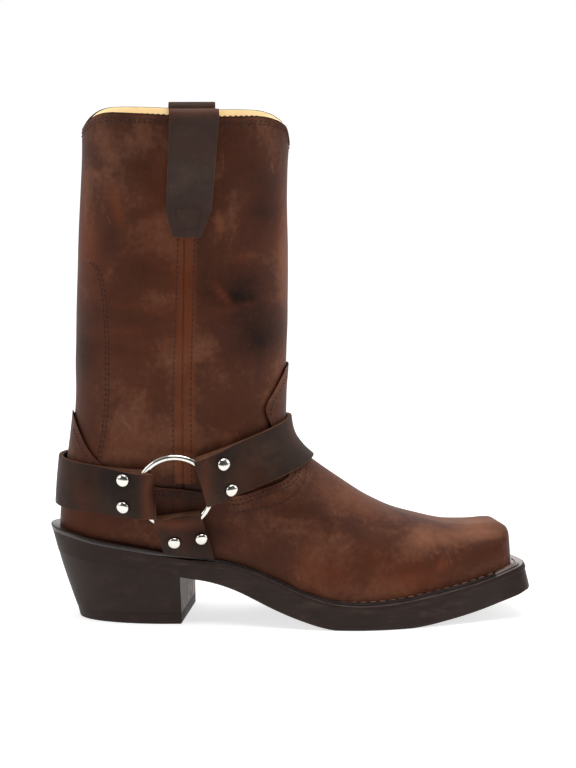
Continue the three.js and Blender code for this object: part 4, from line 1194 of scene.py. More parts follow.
SEAM_ROWS = (
    ((81.9, 262), (81.9, 244), (80.4, 200), (78.5, 150), (78.5, 92)),
    ((92.6, 262), (92.4, 244), (91, 200), (89.7, 150), (89.7, 92)),
)
BACK_ROW = ((27.3, 231.5), (32.3, 226.5), (35.7, 212.9), (37, 193), (37.2, 162.9),
            (35.9, 134.8), (31.8, 107.4))
OVERLAY_ROWS = (
    ((96, 84.6), (110, 81.8), (121, 82.2), (134, 86), (145, 89.6), (152, 92.6),
     (155.8, 97.5), (156.2, 103)),
    ((112, 78.8), (122, 79.4), (133, 83.4), (143.5, 86.8), (151.4, 89.6), (156.6, 93.6),
     (158.6, 98.6)),
    ((118, 73.8), (132.6, 76.5), (142.9, 78.8), (152, 82.8), (156.8, 86.9), (161, 91.8),
     (162.4, 98)),
    ((139.4, 133), (139.8, 139), (144.8, 148), (149.8, 156.5)),
    ((86.6, 85.8), (96, 84.4), (104, 82.6)), ((86.6, 83.8), (96, 82.4), (104, 80.6)),
    ((82.4, 86.2), (66, 88.2), (50, 92), (37, 98.2), (29.5, 104.6), (24.8, 109.4),
     (20.6, 116), (17, 123.6)),
    ((82.4, 84.2), (66, 86), (49, 89.8), (35.8, 96.2), (27.4, 103.2), (22.6, 108.4)),
    ((78.5, 87), (78.5, 68)), ((89.7, 85), (89.7, 68)),
    ((86.6, 81.8), (94, 80.8)), ((86.8, 79.8), (94, 78.8)),
)


@dataclass
class Upper:
    """Shaft and foot in one hollow leather form, with vamp and counter laid on it.

    Attributes:
        last: The form.
        wall: Thickness of the leather.
        overlay: Thickness of vamp and counter.
        groove: Depth of the side seam.
        seam_rise: Thickness of the strip along the seam.
        seam_half: Half the strip's width.
        lip_rise: Height of the collar's rounded edge.
        gap: Gap between the form and what lies on it.
    """

    last: Last
    finishes: Finishes
    wall: float = 2.0
    overlay: float = 1.4
    groove: float = 0.75
    seam_rise: float = 0.28
    seam_half: float = 8.5
    lip_rise: float = 0.6
    gap: float = 0.3
    rows: Array = field(init=False)
    base: Array = field(init=False)
    normals: Array = field(init=False)
    relief: Array = field(init=False)

    def __post_init__(self) -> None:
        """Lay out the fine grid of the form."""
        self.rows = self.last.ring_rows()
        self.base, spots = self.last.grid(self.rows)
        self.side_x, self.side_z, side = spots
        self.normals = self.last.facing(*spots)
        self.relief = self.last.creased(*spots)

    def shell(self, offset: float, relief: Array) -> Array:
        """Loops at a distance from the form."""
        loops = self.base + self.normals * (offset + relief)[..., None]
        loops[0, :, 2] = np.minimum(loops[0, :, 2], self.base[0, :, 2])
        loops[-1, :, 2] = self.base[-1, :, 2] - self.lip_rise
        return loops

    def build(self) -> bpy.types.Object:
        """Make the hollow form with its rounded collar and lining."""
        away = (self.side_x - curve(SIDE_SEAM, self.side_z))
        seam = -self.groove * np.exp(-(away / 0.62) ** 2) * (self.side_z > 60)
        strip = smooth((self.seam_half - np.abs(away - 0.4)) / 2.0)
        welted = self.seam_rise * strip * (self.side_z > 92)
        outer = self.shell(0, self.relief + seam + welted)
        inner = self.shell(-self.wall, self.relief)
        top = outer[-1]
        top_in = inner[-1]
        lip = [mix(top, top_in, s) + np.array([0, 0, h * self.lip_rise])
               for s, h in ((0.08, 0.5), (0.25, 0.85), (0.5, 1), (0.75, 0.85), (0.92, 0.5))]
        loops = np.concatenate([outer, np.array(lip), inner[::-1]])
        count = len(loops)
        numbers = [0] * (len(outer) - 1) + [1] * 5 + [2] * (count - len(outer) - 5) + [1]
        solid = loop_body(loops, True, numbers[:count])
        piece = make("upper_shell", solid, [self.finishes.upper, self.finishes.edge,
                                            self.finishes.lining], 60, PATCHES)
        return report(piece, Slot.UPPER, "upper")

    def cut_overlay(self, name: str, region: Array, node: str) -> bpy.types.Object:
        """Make a layer over the form and cut it to a region of the side view.

        Args:
            name: Name of the piece.
            region: Closed outline in side view.
            node: Node that it replaces.

        Returns:
            The finished overlay.
        """
        skins = [self.shell(d, self.relief) for d in (self.gap + self.overlay, -0.4)]
        solid = loop_body(np.concatenate([skins[0], skins[1][::-1]]), True)
        piece = make(name, solid, [self.finishes.upper, self.finishes.edge],
                     patches=PATCHES)
        n = len(region)
        ends = [np.column_stack([region[:, 0], np.full(n, y), region[:, 1]])
                for y in (-90.0, 90.0)]
        sides = [((i + 1) % n, i, n + i, n + (i + 1) % n) for i in range(n)]
        faces = [tuple(range(n)), tuple(range(2 * n - 1, n - 1, -1))] + sides
        cutter = make(name + "_cutter", Solid(np.vstack(ends), faces, np.ones(len(faces))),
                      [self.finishes.upper, self.finishes.edge])
        only(cutter)
        bpy.ops.object.mode_set(mode="EDIT")
        bpy.ops.mesh.select_all(action="SELECT")
        bpy.ops.mesh.normals_make_consistent(inside=False)
        bpy.ops.object.mode_set(mode="OBJECT")
        apply_modifier(piece, "BOOLEAN", object=cutter, operation="INTERSECT",
                       solver="MANIFOLD")
        mesh = cutter.data
        bpy.data.objects.remove(cutter)
        bpy.data.meshes.remove(mesh)
        only(piece)
        bpy.ops.object.shade_smooth_by_angle(angle=math.radians(38))
        return report(piece, Slot.UPPER, node)

    def overlays(self) -> None:
        """Make vamp and counter."""
        edge = spline(VAMP_EDGE, 6)
        region = np.vstack([edge, [[330, 165], [330, -20], [84.6, -20]]])
        self.cut_overlay("vamp_overlay", region, "vamp")
        edge = spline(COUNTER_EDGE, 6)
        region = np.vstack([edge, [[-30, 138], [-30, -20], [84.4, -20], [84.4, 88.6]]])
        self.cut_overlay("counter_overlay", region, "counter")

    def collar_line(self, below: float, offset: float) -> tuple[Array, Array]:
        """Closed line a distance below the collar's edge, and its directions."""
        depth = np.cumsum(np.linalg.norm(np.diff(self.base[::-1], axis=0), axis=2), axis=0)
        line, out = [], []
        for c in range(self.base.shape[1]):
            run = np.concatenate([[0], depth[:, c]])
            column, normal = self.base[::-1, c], self.normals[::-1, c]
            relief = self.relief[::-1, c]
            pick = [np.interp(below, run, column[:, k]) for k in range(3)]
            face = [np.interp(below, run, normal[:, k]) for k in range(3)]
            up = unit(np.array(face))
            line.append(np.array(pick) + up * (offset + np.interp(below, run, relief)))
            out.append(up)
        line.append(line[0])
        out.append(out[0])
        return np.array(line), np.array(out)

    def side_line(self, points: Sequence[Sequence[float]], side: float,
                  offset: float) -> tuple[Array, Array]:
        """Line drawn in side view and laid on the surface."""
        path = spline(points, 10)
        return self.last.skin(path[:, 0], path[:, 1], side, offset)

    def stitch(self) -> None:
        """Sew every row of the upper."""
        on_shaft, on_overlay = 0.05, self.gap + self.overlay + 0.02
        shaft = [self.collar_line(3.1, on_shaft), self.collar_line(5.3, on_shaft)]
        thread = self.finishes.thread
        for side in (-1, 1):
            shaft += [self.side_line(line, side, on_shaft + self.seam_rise)
                      for line in SEAM_ROWS]
            shaft += [self.side_line(np.array(BACK_ROW) + [d, 0], side, on_shaft)
                      for d in (-1, 1)]
        piece = StitchRow(3.3).sew("shaft_stitching", shaft, thread)
        report(piece, Slot.UPPER)
        rows = []
        for side in (-1, 1):
            rows += [self.side_line(line, side, on_overlay) for line in OVERLAY_ROWS]
        piece = StitchRow(2.9).sew("overlay_stitching", rows, thread)
        report(piece, Slot.UPPER)
        inside = [self.collar_line(4.4, -self.wall - 0.05)]
        inside = [(line, -out) for line, out in inside]
        piece = StitchRow(3.6).sew("lining_stitching", inside, self.finishes.lining_thread)
        report(piece, Slot.UPPER)


@dataclass
class Sole:
    """Outsole, welt, heel and top lift.

    Attributes:
        last: Form that carries the outline.
        steps: Points along each side.
    """

    last: Last
    finishes: Finishes
    steps: int = 120
    welt_thickness: float = 3.0
    welt_shown: float = 1.6
    # From this x on, the toe's welt and rim take the painted glare finish.
    painted_glare_from: float = 284.0
    rim_from: float = 90.0
    lip_to: float = 100.0
    lip: float = 3.0
    step: float = 1.0
    step_drop: float = 3.2
    bevel: float = 1.6
    heel_height: float = 62.0
    undercut: float = 17.6
    bulge: float = 1.0
    heel_drop: float = 16.0
    heel_lip: float = 0.15
    tip_rounding: float = 60.0
    breast: float = 88.0
    breast_slant: float = 0.17
    lift_thickness: float = 7.2
    plan: Array = field(init=False)

    def __post_init__(self) -> None:
        """Draw the outline."""
        self.plan = self.last.outline(self.steps)

    def inset(self, distance: Array) -> Array:
        """Outline moved inwards."""
        before = unit(self.plan - np.roll(self.plan, 1, axis=0))
        after = unit(np.roll(self.plan, -1, axis=0) - self.plan)
        along = unit(before + after)
        inward = np.stack([-along[:, 1], along[:, 0]], axis=1)
        return self.plan + inward * np.broadcast_to(distance, (len(self.plan),))[:, None]

    def loop(self, distance: Array, height: Callable[[Array], Array]) -> Array:
        """Outline moved inwards and set at a height that depends on x."""
        flat = self.inset(distance)
        return np.column_stack([flat, height(flat[:, 0])])

    def drawn_in(self, drop: float) -> Array:
        """How far the heel's undercut draws in the back of the sole."""
        return self.heel_back(drop) * (1 - smooth(self.plan[:, 0] / 26.1))

    def heel_back(self, drop: float) -> float:
        """How far the back of the heel lies ahead of its seat."""
        share = drop / self.heel_height
        return self.undercut * share - self.bulge * math.sin(math.pi * share)

    def edge(self, inset: Array, drop: float, flare: float) -> Array:
        """Inset of a loop with the heel's undercut and the flare of the toe."""
        toe = smooth((self.plan[:, 0] - 285.4) / 18.2) * self.last.toe_flare
        return inset + self.drawn_in(drop) + flare * toe

    def build(self) -> None:
        """Make the four layers and the welt's thread."""
        last, x = self.last, self.plan[:, 0]
        fore = smooth((x - 58) / 46)
        rim = lambda at: (last.sole_top(at) - 0.12
                          - mix(self.welt_thickness, self.welt_shown, smooth((at - 58) / 46)))
        bevel = self.bevel * smooth((x - 88) / 12)
        fall = lambda amount: (lambda at: rim(at) - amount)
        rise = lambda share: (lambda at: last.sole_bottom(at)
                              + self.bevel * share * smooth((at - 88) / 12))
        drop = self.step_drop
        side = lambda heel, front, down, flare: self.edge(mix(heel, front, fore), down, flare)
        loops = [
            self.loop(self.edge(self.step + bevel * 1.3, self.heel_drop, -1.27), rise(0)),
            self.loop(self.edge(self.step + bevel, self.heel_drop, -1.27), rise(0)),
            self.loop(self.edge(self.step + bevel * 0.35, 15.6, -1.27), rise(0.3)),
            self.loop(self.edge(self.step, 15, -1.2), rise(1)),
            self.loop(side(0.62, self.step, 7.4, 0.1), fall(drop + 1.1)),
            self.loop(side(0.58, self.step * 0.75, 6.9, 0.2), fall(drop + 0.5)),
            self.loop(side(0.54, self.step * 0.15, 6.4, 0.35), fall(drop)),
            self.loop(side(0.5, 0, 6, 0.45), fall(drop - 0.6)),
            self.loop(side(0.4, 0, 3.5, 0.9), fall(0.55)),
            self.loop(side(0.3, 0.2, 3.2, 1), fall(0.15)),
            self.loop(side(0.3, 0.7, 3.1, 1), fall(0)),
            self.loop(10.0, rim),
            self.loop(10.0, last.sole_top),
        ]
        body = loop_body(np.array(loops), False)
        # Ahead of the heel the rim's top bands take the painted-highlight rim finish; at the toe
        # the top bands take the painted glare.
        body.finish = self.finish_rows(body, {9: 1, 10: 1, 11: 2}, {9: 1, 10: 3, 11: 3})
        piece = make("outsole_shaped", body, [self.finishes.sole, self.finishes.rim,
                                              self.finishes.welt, self.finishes.gloss], 40)
        report(piece, Slot.SOLE, "outsole")
        lip = mix(self.heel_lip, self.lip, fore)
        top = lambda amount: (lambda at: last.sole_top(at) - amount)
        loops = [
            self.loop(self.edge(lip + 0.5 * fore, 3, 1), fall(-0.12)),
            self.loop(self.edge(lip, 2.6, 1), lambda at: rim(at) + 0.5),
            self.loop(self.edge(lip, 1, 1), top(0.8)),
            self.loop(self.edge(lip + 0.2, 0.5, 1), top(0.25)),
            self.loop(self.edge(lip + 0.9, 0, 1), last.sole_top),
            self.loop(12.0, last.sole_top),
            self.loop(12.0, top(self.welt_thickness - 0.02)),
        ]
        body = loop_body(np.array(loops), True)
        # At the heel the welt's top edge takes the painted-highlight lip finish; at the toe its
        # top takes the painted glare.
        body.finish = self.finish_rows(body, {}, {2: 2, 3: 2, 4: 2}, {2: 1, 3: 1})
        piece = make("welt_strip", body, [self.finishes.welt, self.finishes.lip,
                                          self.finishes.gloss], 50)
        report(piece, Slot.WELT, "welt")
        self.build_heel()
        self.stitch()

    def heel_side(self, points: Array, side: int, count: int) -> Array:
        """Side of a heel loop from the middle of the back to the breast."""
        limit = self.breast + self.breast_slant * points[:, 1]
        ahead = np.nonzero(points[:, 0] > limit)[0]
        cut = ahead[0] if len(ahead) else len(points) - 1
        a, b = points[cut - 1], points[cut]
        gap_a = a[0] - limit[cut - 1]
        gap_b = b[0] - limit[cut]
        end = mix(a, b, gap_a / (gap_a - gap_b))
        line = np.vstack([points[:cut], end])
        run = np.concatenate([[0], np.cumsum(np.linalg.norm(np.diff(line, axis=0), axis=1))])
        marks = run[-1] * (np.linspace(0, 1, count) ** 1.15)
        return np.stack([np.interp(marks, run, line[:, k]) for k in range(2)], axis=1)

    def heel_base(self, side: int, drop: float, count: int) -> Array:
        """Side of the heel's own plan at a drop below the heel seat."""
        share = drop / self.heel_height
        inset = self.step + 3.4 * share
        rear = self.heel_back(drop) + self.step * 0.4
        flat = np.linspace(0, 1, 200) ** 2
        mid, half = self.last.plan_half(np.array(rear + 24))
        depth = mix(self.last.heel_rounding - 4, self.tip_rounding, share)
        y = mid + side * (half - inset) * round_off(flat * (self.breast - rear), depth, 2.05)
        front = self.breast + self.breast_slant * y + 6
        return self.heel_side(np.column_stack([rear + flat * (front - rear), y]), side, count)

    def bow(self, share: float) -> float:
        """How far the heel's back lies ahead of a straight line, by share of its height."""
        drop = mix(self.heel_drop, self.heel_height, share)
        line = mix(self.heel_back(self.heel_drop), self.heel_back(self.heel_height), share)
        return self.heel_back(drop) - line

    def heel_loop(self, share: float, height: Callable[[Array], Array],
                  grow: float = 0.0) -> Array:
        """Loop of the heel between its seat (0) and the floor (1)."""
        count = 40
        n = self.steps
        seat = self.inset(self.step + self.drawn_in(self.heel_drop))
        outer, inner = seat[:n + 1], np.vstack([seat[:1], seat[:n - 1:-1]])
        sides = []
        for side, line in ((-1, outer), (1, inner)):
            top = self.heel_side(line, side, count)
            base = self.heel_base(side, self.heel_height, count)
            middle = mix(top, base, share)
            middle[:, 0] += self.bow(share) * (1 - smooth(middle[:, 0] / 30))
            sides.append(middle)
        sides[1][0] = sides[0][0]
        ring = np.vstack([sides[0], sides[1][:0:-1]])
        centre = ring.mean(axis=0)
        ring = ring + unit(ring - centre) * grow
        return np.column_stack([ring, height(ring[:, 0])])

    def finish_rows(self, body: Solid, front: dict[int, int], toe: dict[int, int],
                    heel: Optional[dict[int, int]] = None) -> Array:
        """Finish of each face of a body of loops, by its band and place.

        Args:
            body: Body made of loops.
            front: Finish of each band in front of the heel.
            toe: Finish of each band at the toe.
            heel: Finish of each band at the heel.

        Returns:
            Number of the finish of each face.
        """
        spots = np.array([body.points[list(f)].mean(axis=0) for f in body.faces])
        band = np.arange(len(spots)) // len(self.plan)
        finish = np.zeros(len(spots), int)
        for rows, place in ((front, spots[:, 0] > self.rim_from),
                            (toe, spots[:, 0] > self.painted_glare_from),
                            (heel or {}, spots[:, 0] < self.lip_to)):
            for row, number in rows.items():
                finish[(band == row) & place] = number
        return finish

    def build_heel(self) -> None:
        """Make the heel block and its top lift."""
        last, low = self.last, self.lift_thickness + 0.12
        levels = []
        for t in np.linspace(0, 1, 12):
            height = lambda at, t=t: mix(low, last.sole_bottom(at) + 0.02, t)
            levels.append(self.heel_loop((1 - t) * 0.87, height, 0.0))
        body = loop_body(np.array(levels), False)
        faces = np.array([np.array(levels).reshape(-1, 3)[list(f)].mean(axis=0)
                          for f in body.faces])
        # Faces ahead of the breast line take the breast finish, a painted reflection.
        ahead = faces[:, 0] > self.breast - 0.8 + self.breast_slant * faces[:, 1]
        body.finish = ahead.astype(int)
        piece = make("heel_block", body, [self.finishes.heel, self.finishes.breast], 35)
        report(piece, Slot.SOLE, "heel")
        thick = self.lift_thickness
        lift = [self.heel_loop(1.0, lambda at: at * 0, -0.9),
                self.heel_loop(1.0, lambda at: at * 0 + 0.35, -0.25),
                self.heel_loop(1.0, lambda at: at * 0 + 0.9, 0.0),
                self.heel_loop(0.89, lambda at: at * 0 + thick - 0.15, 0.0),
                self.heel_loop(0.88, lambda at: at * 0 + thick, -0.1)]
        piece = make("heel_top_lift", loop_body(np.array(lift), False), [self.finishes.heel], 35)
        report(piece, Slot.SOLE, "top_lift")

    def stitch(self) -> None:
        """Sew the welt with its light thread."""
        line = self.loop(self.edge(self.lip + 2.6, 0, 1),
                         lambda at: self.last.sole_top(at) + 0.05)
        n = self.steps
        outer, inner = line[:n + 1], line[:n:-1]
        lines = []
        for run in (outer, inner):
            run = run[run[:, 0] > 76]
            slope = np.gradient(run[:, 2]) / np.where(np.gradient(run[:, 0]) == 0, 1,
                                                      np.gradient(run[:, 0]))
            slope = np.clip(slope, -0.6, 0.6)
            up = unit(np.column_stack([-slope, slope * 0, slope * 0 + 1]))
            lines.append((run, up))
        row = StitchRow(6.2, 0.72, 0.85, 0.6)
        report(row.sew("welt_stitching", lines, self.finishes.welt_thread), Slot.WELT)


@dataclass
class RingSeat:
    """Place of one harness ring.

    Attributes:
        centre: Its middle.
        along: Direction forward in its plane.
        out: Direction away from the boot.
    """

    centre: Array
    along: Array
    out: Array


@dataclass
class Harness:
    """Rings, the straps that fold round them, and the rivets.

    Attributes:
        ring_centre: Middle of the rings in side view.
        ring_radius: Middle radius of the wire's ring.
        ring_wire: Half the wire's thickness.
        strap_inner: Distance of a strap's inner face from the form.
        strap_outer: Distance of its outer face.
        ring_stand: Distance of the ring's middle from the form.
        fold_outer: Distance of a fold's outer face.
        stand_off: Extra distance of the heel strap at the back.
        low_edge_share: Share of it at the strap's lower edge.
        heel_end: Lower and upper corner of the heel strap at the ring.
        heel_back: Its lower and upper height at the back line.
        instep_end: Lower and upper corner of the instep strap at the ring.
        instep_ridge: Its lower and upper height on the ridge.
        down_top: Rear and front corner of the down strap at the ring.
        down_foot: Its rear and front x at the welt.
    """

    last: Last
    finishes: Finishes
    ring_centre: tuple[float, float] = (79.7, 89.3)
    ring_radius: float = 23.0
    ring_wire: float = 2.0
    strap_inner: float = 2.6
    strap_outer: float = 5.2
    ring_stand: float = 7.4
    fold_outer: float = 12.2
    stand_off: float = 2.0
    low_edge_share: float = 0.1
    rivet_radius: float = 4.1
    rivet_height: float = 2.1
    heel_end: tuple = ((68, 72.6), (65.4, 102.4))
    heel_back: tuple[float, float] = (74.8, 104.9)
    instep_end: tuple = ((100.5, 80.2), (91.1, 109.9))
    instep_ridge: tuple[float, float] = (101.0, 129.8)
    down_top: tuple = ((66.6, 71.4), (95.4, 75.8))
    down_foot: tuple[float, float] = (73.0, 104.4)
    heel_rivets: tuple = ((48, 98.6), (47.1, 81))
    instep_rivets: tuple = ((108.5, 107.4), (114.6, 90.2))
    down_rivets: tuple = ((79.6, 56.6), (96.8, 58.7))

    def __post_init__(self) -> None:
        """Fit each ring's plane to the form."""
        self.seats = {side: self.seat(side) for side in (-1, 1)}

    def seat(self, side: int) -> RingSeat:
        """Plane of the ring on one side."""
        cx, cz = self.ring_centre

        def at(dx: float, dz: float) -> Array:
            """Point of the form near the ring's middle."""
            return self.last.point(np.array(cx + dx), np.array(cz + dz), side)

        r = self.ring_radius
        along = unit(at(r, 0) - at(-r, 0))
        up = unit(at(0, r) - at(0, -r))
        out = unit(np.cross(along, up) * -side)
        spots = [at(0, 0)] + [at(r * math.cos(a), r * math.sin(a))
                              for a in np.arange(12) * math.pi / 6]
        reach = max(float(p @ out) for p in spots)
        centre = at(0, 0)
        centre = centre + out * (reach - centre @ out + self.ring_stand)
        return RingSeat(centre, along, out)

    def rise(self, points: Array, side: int) -> Array:
        """Distance of a strap's outer face, higher where it folds round the ring."""
        seat = self.seats[side]
        r = np.hypot(points[..., 0] - self.ring_centre[0], points[..., 2] - self.ring_centre[1])
        away = np.abs(r - self.ring_radius)
        within = r < self.ring_radius
        height = (seat.centre - points) @ seat.out + self.fold_outer - self.ring_stand
        t = np.clip((away - 2.4) / np.where(within, 6.6, 26), 0, 1)
        shape = np.where(within, np.sqrt(np.maximum(1 - t * t, 0)), 1 - smooth(t))
        return self.strap_outer + np.maximum(height - self.strap_outer, 0) * shape

    def rings(self) -> None:
        """Make both rings."""
        for side, tag in ((-1, "outer"), (1, "inner")):
            seat = self.seats[side]
            basis = Matrix([seat.along, np.cross(seat.out, seat.along), seat.out]).transposed()
            deselect()
            bpy.ops.mesh.primitive_torus_add(
                major_segments=96, minor_segments=20, major_radius=self.ring_radius * MM,
                minor_radius=self.ring_wire * MM, location=place(seat.centre).tolist(),
                rotation=basis.to_euler())
            ring = bpy.context.active_object
            ring.name = f"harness_ring_{tag}"
            bpy.ops.object.transform_apply(location=True, rotation=True, scale=True)
            bpy.ops.object.shade_smooth()
            ring.data.materials.append(self.finishes.nickel)
            report(ring, Slot.METAL, f"ring_{tag}")

    def wrap(self, near: tuple, far: Callable[[Array], Array], rows: int,
             columns: int) -> Array:
        """Grid of a strap from the outer ring round to the inner one.

        Args:
            near: Lower and upper point of its end in the ring, in side view.
            far: Side-view points of its middle line's crossing, by share of the width.
            rows: Rows across the width.
            columns: Columns along each side.

        Returns:
            Grid of points on the form.
        """
        t = np.linspace(0, 1, rows)
        low, top = np.array(near[0]), np.array(near[1])
        start = mix(low[None], top[None], t[:, None])
        end = far(t)
        at = np.linspace(0, 1, columns)
        s = mix(at, np.sin(np.pi / 2 * at), 0.85)
        x = mix(start[:, :1], end[:, :1], s[None])
        z = mix(start[:, 1:], end[:, 1:], s[None])
        outer = self.last.point(x, z, -1)
        inner = self.last.point(x[:, :-1], z[:, :-1], 1)[:, ::-1]
        return np.concatenate([outer, inner], axis=1)

    def strap(self, name: str, grid: Array, stand_off: float, *nodes: str) -> None:
        """Make one strap that goes from ring to ring."""
        grid = outward(grid)
        columns = grid.shape[1]
        half = (columns - 1) / 2
        c = np.arange(columns)
        share = mix(self.low_edge_share, 1, np.linspace(0, 1, grid.shape[0]))[:, None]
        away = stand_off * share * smooth(1 - 2 * np.abs(c - half) / half)[None]
        rise = np.where(grid[..., 1] < 0, self.rise(grid, -1), self.rise(grid, 1))
        solid = plate(grid, self.strap_inner - 0.5 + away, rise + away)
        piece = make(name, solid, [self.finishes.strap, self.finishes.strap_edge], 50,
                     STRAP_PATCHES)
        soften_edges(piece, 0.55)
        report(piece, Slot.STRAP, *nodes)

    def ridge_x(self, z: Array) -> Array:
        """x of the shin and instep line at a height."""
        table = sorted((ring[2], ring[1]) for ring in RINGS[9:20])
        return curve(table, z)

    def straps(self) -> None:
        """Make all four straps of the harness."""
        def heel_far(t: Array) -> Array:
            """Middle of the heel strap, on the back line."""
            z = mix(*self.heel_back, t)
            return np.column_stack([self.last.back_x(z), z])

        def instep_far(t: Array) -> Array:
            """Middle of the instep strap, on the ridge."""
            z = mix(*self.instep_ridge, t)
            return np.column_stack([self.ridge_x(z), z])

        heel = self.wrap(self.heel_end, heel_far, 15, 64)
        self.strap("heel_strap_leather", heel, self.stand_off, "heel_strap")
        instep = self.wrap(self.instep_end, instep_far, 15, 64)
        self.strap("instep_strap_leather", instep, 0.0, "instep_strap")
        t = np.linspace(0, 1, 13)[:, None]
        s = np.linspace(0, 1, 30)[None]
        for side, tag in ((-1, "outer"), (1, "inner")):
            top_x, top_z = (mix(*ends, t) for ends in zip(*self.down_top))
            foot_x = mix(*self.down_foot, t)
            foot_z = self.last.sole_top(foot_x) + 1.0
            x, z = mix(top_x, foot_x, s), mix(top_z, foot_z, s)
            grid = self.last.point(x, z, side)
            if side > 0:
                grid = grid[:, ::-1]
            solid = plate(grid, self.strap_inner - 0.6, self.rise(grid, side))
            name = f"down_strap_leather_{tag}"
            piece = make(name, solid, [self.finishes.strap, self.finishes.strap_edge], 50,
                     STRAP_PATCHES)
            soften_edges(piece, 0.5)
            report(piece, Slot.STRAP, f"down_strap_{tag}")

    def rivets(self) -> None:
        """Make twelve domed rivets."""
        groups = (("heel", self.heel_rivets), ("instep", self.instep_rivets),
                  ("down", self.down_rivets))
        for label, spots in groups:
            for side, tag in ((-1, "outer"), (1, "inner")):
                for number, spot in enumerate(spots, 1):
                    self.rivet(label, tag, number, spot, side)

    def rivet(self, label: str, tag: str, number: int, spot: tuple, side: int) -> None:
        """Make one rivet at a place of the side view."""
        def skin(dx: float, dz: float) -> Array:
            """Outer face of the strap near the rivet."""
            x, z = np.array(spot[0] + dx), np.array(spot[1] + dz)
            p = self.last.point(x, z, side)
            return p + self.last.facing(x, z, side) * self.rise(p, side)

        out = unit(np.cross(skin(4, 0) - skin(-4, 0), skin(0, 4) - skin(0, -4)))
        out = out if out[1] * side > 0 else -out
        turn = Vector((0, 0, 1)).rotation_difference(Vector(out.tolist()))
        deselect()
        bpy.ops.mesh.primitive_uv_sphere_add(segments=40, ring_count=24,
                                             radius=self.rivet_radius * MM)
        head = bpy.context.active_object
        head.name = f"rivet_head_{label}_{tag}_{number}"
        bpy.ops.object.mode_set(mode="EDIT")
        bpy.ops.mesh.select_all(action="SELECT")
        bpy.ops.mesh.bisect(plane_co=(0, 0, 0), plane_no=(0, 0, 1), clear_inner=True,
                            use_fill=True)
        bpy.ops.mesh.select_all(action="SELECT")
        bpy.ops.transform.resize(value=(1, 1, self.rivet_height / self.rivet_radius))
        bpy.ops.object.mode_set(mode="OBJECT")
        head.matrix_world = (Matrix.Translation(place(skin(0, 0)).tolist())
                             @ turn.to_matrix().to_4x4())
        only(head)
        bpy.ops.object.transform_apply(location=True, rotation=True, scale=True)
        bpy.ops.object.shade_smooth_by_angle(angle=math.radians(50))
        head.data.materials.append(self.finishes.nickel)
        report(head, Slot.METAL, f"rivet_{label}_{tag}_{number}")


@dataclass
class PullStraps:
    """Loops over the collar, sewn down with a tapered tip."""

    last: Last
    finishes: Finishes
    tip: tuple[float, float] = (87.7, 248.9)
    shoulder: float = 265.4
    fold: float = 92.6
    inside: float = 276.0
    width: float = 29.6
    thickness: float = 2.2
    bend: float = 1.6
    stand_off: float = 0.3
    rise: float = 0.7
    tip_share: float = 0.575
    shoulder_share: float = 0.945
    rim_share: float = 1.02

    def path(self) -> Array:
        """Rows of the loop: height, share of the width and distance from the form."""
        tip, rim = self.tip[1], float(curve(COLLAR, self.fold))
        centre = rim + self.rise
        up = [(z, mix(self.tip_share, self.shoulder_share,
                      (z - tip) / (self.shoulder - tip)), self.stand_off)
              for z in np.linspace(tip, self.shoulder, 8)]
        up += [(z, mix(self.shoulder_share, self.rim_share,
                       (z - self.shoulder) / (rim - self.shoulder)), self.stand_off)
               for z in np.linspace(self.shoulder + 4, centre - 2, 14)]
        turn = [(centre + self.bend * math.sin(a), self.rim_share,
                 self.stand_off - self.bend * (1 - math.cos(a)))
                for a in np.linspace(0.0, math.pi, 13)]
        down = [(z, 1.0, self.stand_off - 2 * self.bend)
                for z in np.linspace(centre - 3, self.inside, 12)]
        return np.array(up + turn + down)

    def build(self) -> None:
        """Make both loops and their stitches."""
        rows = self.path()
        u = np.linspace(-1, 1, 13)[None]
        rim = float(curve(COLLAR, self.fold))
        stitches = []
        for side, tag in ((-1, "outer"), (1, "inner")):
            share = np.clip((rows[:, :1] - self.tip[1]) / (rim - self.tip[1]), 0, 1)
            x = mix(self.tip[0], self.fold, share) + u * self.width / 2 * rows[:, 1:2]
            z = np.broadcast_to(np.minimum(rows[:, :1], SHAFT_WIDTH[-1][0]), x.shape)
            grid = self.last.point(x, z, side)
            grid[..., 1] += side * rows[:, 2:3]
            grid[..., 2] = rows[:, :1]
            grid = grid if side < 0 else grid[:, ::-1]
            solid = plate(grid, 0, self.thickness)
            piece = make(f"pull_strap_loop_{tag}", solid,
                         [self.finishes.pull, self.finishes.strap_edge], 50,
                         STRAP_PATCHES)
            soften_edges(piece, 0.5)
            report(piece, Slot.STRAP, f"pull_strap_{tag}")
            corners = np.array([(80.3, 267.1), (96.9, 267.1), (94, 254), (82.1, 254),
                                (80.3, 267.1)])
            line = np.vstack([mix(a[None], b[None], np.linspace(0, 1, 8)[:-1, None])
                              for a, b in zip(corners[:-1], corners[1:])] + [corners[-1:]])
            stitches.append(self.last.skin(line[:, 0], line[:, 1], side,
                                           self.stand_off + self.thickness))
        row = StitchRow(2.7, 0.7, 0.8, 0.4)
        report(row.sew("pull_strap_stitching", stitches, self.finishes.thread), Slot.STRAP)


